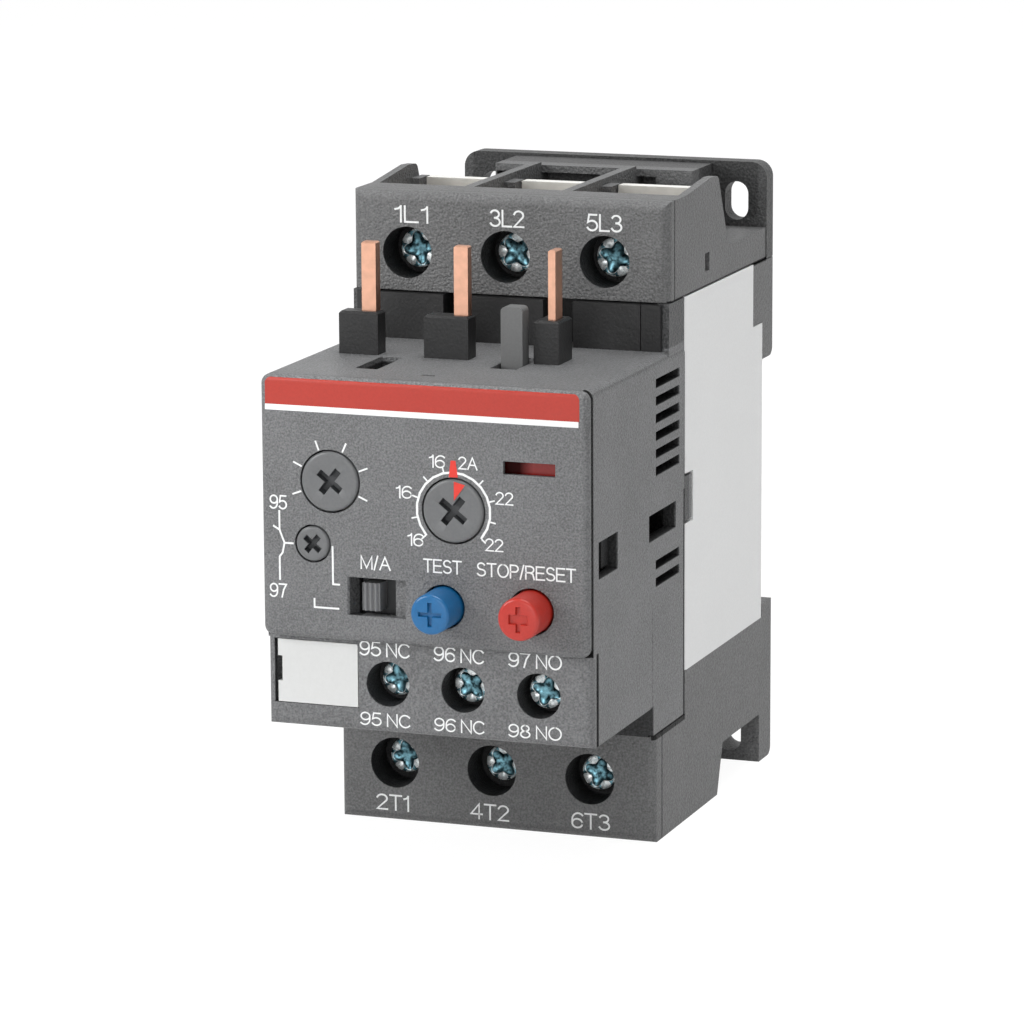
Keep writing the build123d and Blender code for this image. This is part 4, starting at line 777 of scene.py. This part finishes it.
for name, words, left, base, cap, width in (
    ("number_95", "95", -21.30, 48.00, 1.90, 2.45), ("number_97", "97", -21.45, 36.28, 1.90, 2.45),
    ("words_mode", "M/A", -8.70, 40.85, 1.85, 4.20), ("words_test", "TEST", -0.02, 41.02, 1.82, 5.30),
    ("words_reset", "STOP/RESET", 7.30, 41.00, 1.85, 13.50),
    ("scale_1", "16", -2.15, 44.35, 1.70, 2.20), ("scale_2", "16", -3.70, 50.50, 1.70, 2.20),
    ("scale_3", "16", 0.90, 54.78, 1.70, 2.20), ("scale_4", "2A", 4.88, 54.78, 1.70, 2.65),
    ("scale_5", "22", 9.92, 50.50, 1.70, 2.45), ("scale_6", "22", 8.48, 44.35, 1.70, 2.50),
):
    lettering(name, words, left, base, cap, width, face_y)
for name, words, left, base, cap, width, y in (
    ("terminal_95_low", "95 NC", -9.60, 19.70, 1.80, 7.05, -0.0774),
    ("terminal_96_low", "96 NC", 0.72, 19.70, 1.80, 7.00, -0.0774),
    ("terminal_98_low", "98 NO", 10.95, 19.70, 1.80, 7.30, -0.0774),
    ("terminal_95_high", "95 NC", -9.60, 29.00, 2.00, 7.05, -0.0774),
    ("terminal_96_high", "96 NC", 0.72, 29.00, 2.00, 7.00, -0.0774),
    ("terminal_97_high", "97 NO", 11.00, 29.00, 2.00, 7.30, -0.0774),
    ("terminal_2T1", "2T1", -17.40, 1.45, 2.25, 4.80, -0.0526),
    ("terminal_4T2", "4T2", -3.72, 1.30, 2.25, 5.60, -0.0526),
    ("terminal_6T3", "6T3", 10.78, 1.25, 2.25, 5.50, -0.0526),
    ("terminal_1L1", "1L1", -16.38, 81.25, 2.35, 4.85, -0.0462),
    ("terminal_3L2", "3L2", -2.80, 81.25, 2.35, 4.95, -0.0462),
    ("terminal_5L3", "5L3", 10.90, 81.25, 2.35, 5.00, -0.0462),
):
    lettering(name, words, left, base, cap, width, y)

# Floor and backdrop: one pale sheet that rises in a wide curve behind the relay.
# It shows white to the camera and in reflections, and still takes the relay's shadow.
sheet_reach = 1.6
sheet_turn = 0.5
sheet_angles = np.linspace(0.0, math.pi / 2, 25)
sheet_profile = np.concatenate([
    [[-sheet_reach, 0.0]],
    np.stack([sheet_reach + sheet_turn * np.sin(sheet_angles),
              sheet_turn * (1 - np.cos(sheet_angles))], axis=1),
    [[sheet_reach + sheet_turn, 2.4]]])
sheet_sides = np.array([-3.0, 3.0])
sheet_points = np.array([(x, y, z) for y, z in sheet_profile for x in sheet_sides])
sheet_faces = [(2 * i, 2 * i + 1, 2 * i + 3, 2 * i + 2) for i in range(len(sheet_profile) - 1)]
sheet_mesh = bpy.data.meshes.new("studio_sheet")
sheet_mesh.from_pydata(sheet_points.tolist(), [], sheet_faces)
sheet_mesh.polygons.foreach_set("use_smooth", np.ones(len(sheet_faces), dtype=bool))
studio_sheet = bpy.data.objects.new("studio_sheet", sheet_mesh)
bpy.context.scene.collection.objects.link(studio_sheet)
sheet_paper = bpy.data.materials.new("sheet_paper")
sheet_paper.use_nodes = True
paper_nodes = sheet_paper.node_tree.nodes
paper_links = sheet_paper.node_tree.links
paper = paper_nodes["Principled BSDF"]
paper.inputs["Roughness"].default_value = 0.9
paper.inputs["Base Color"].default_value = (0.80, 0.80, 0.80, 1.0)
glow = paper_nodes.new("ShaderNodeEmission")
glow.inputs["Color"].default_value = (1.0, 1.0, 1.0, 1.0)
glow.inputs["Strength"].default_value = 1.08
path = paper_nodes.new("ShaderNodeLightPath")
seen = paper_nodes.new("ShaderNodeMath")
seen.operation = "MAXIMUM"
paper_links.new(path.outputs["Is Camera Ray"], seen.inputs[0])
paper_links.new(path.outputs["Is Glossy Ray"], seen.inputs[1])
either = paper_nodes.new("ShaderNodeMath")
either.operation = "MAXIMUM"
paper_links.new(seen.outputs["Value"], either.inputs[0])
paper_links.new(path.outputs["Is Transmission Ray"], either.inputs[1])
share = paper_nodes.new("ShaderNodeMath")
share.operation = "MULTIPLY"
share.inputs[1].default_value = 0.88
paper_links.new(either.outputs["Value"], share.inputs[0])
mix = paper_nodes.new("ShaderNodeMixShader")
paper_links.new(share.outputs["Value"], mix.inputs["Fac"])
paper_links.new(paper.outputs["BSDF"], mix.inputs[1])
paper_links.new(glow.outputs["Emission"], mix.inputs[2])
paper_links.new(mix.outputs["Shader"], paper_nodes["Material Output"].inputs["Surface"])
sheet_mesh.materials.append(sheet_paper)

# Studio light: a pale room all round, a small near lamp at the left that fades across the front,
# and large soft ones in front, above and at the right.
world = bpy.data.worlds.new("studio_room")
bpy.context.scene.world = world
world.use_nodes = True
room = world.node_tree.nodes["Background"]
room.inputs["Color"].default_value = (1.0, 1.0, 1.0, 1.0)
room.inputs["Strength"].default_value = 0.24


def soft_lamp(name, place, size, power):
    """A square area lamp at a place (m), turned to face the middle of the relay."""
    lamp = bpy.data.lights.new(name, "AREA")
    lamp.shape = "RECTANGLE"
    lamp.size = size[0]
    lamp.size_y = size[1]
    lamp.energy = power
    holder = bpy.data.objects.new(name, lamp)
    bpy.context.scene.collection.objects.link(holder)
    holder.location = place
    aim = Vector((0.0, -0.04, 0.04)) - Vector(place)
    holder.rotation_euler = aim.to_track_quat("-Z", "Y").to_euler()


soft_lamp("key_lamp", (-0.20, -0.24, 0.17), (0.12, 0.12), 0.56)
soft_lamp("front_lamp", (0.10, -1.30, 0.30), (0.6, 0.6), 4.4)
soft_lamp("top_lamp", (0.10, 0.00, 1.10), (0.8, 0.6), 12.5)
soft_lamp("side_lamp", (1.10, -0.45, 0.45), (0.5, 0.8), 1.5)

# Camera: on a long lens, to the right of the front and a little above.
camera_data = bpy.data.cameras.new("camera")
camera_data.sensor_width = 36.0
camera_data.lens = 173.94
camera_data.clip_end = 20.0
camera = bpy.data.objects.new("camera", camera_data)
bpy.context.scene.collection.objects.link(camera)
azimuth = math.radians(20.09)
elevation = math.radians(11.41)
roll = math.radians(-0.31)
back = Vector((math.sin(azimuth) * math.cos(elevation), -math.cos(azimuth) * math.cos(elevation),
               math.sin(elevation)))
right = Vector((math.cos(azimuth), math.sin(azimuth), 0.0))
up = back.cross(right)
right_rolled = right * math.cos(roll) + up * math.sin(roll)
up_rolled = up * math.cos(roll) - right * math.sin(roll)
turned = Matrix((right_rolled, up_rolled, back)).transposed().to_4x4()
camera.matrix_world = Matrix.Translation((0.22444, -0.65935, 0.17440)) @ turned
bpy.context.scene.camera = camera
bpy.context.scene.view_settings.view_transform = "Standard"
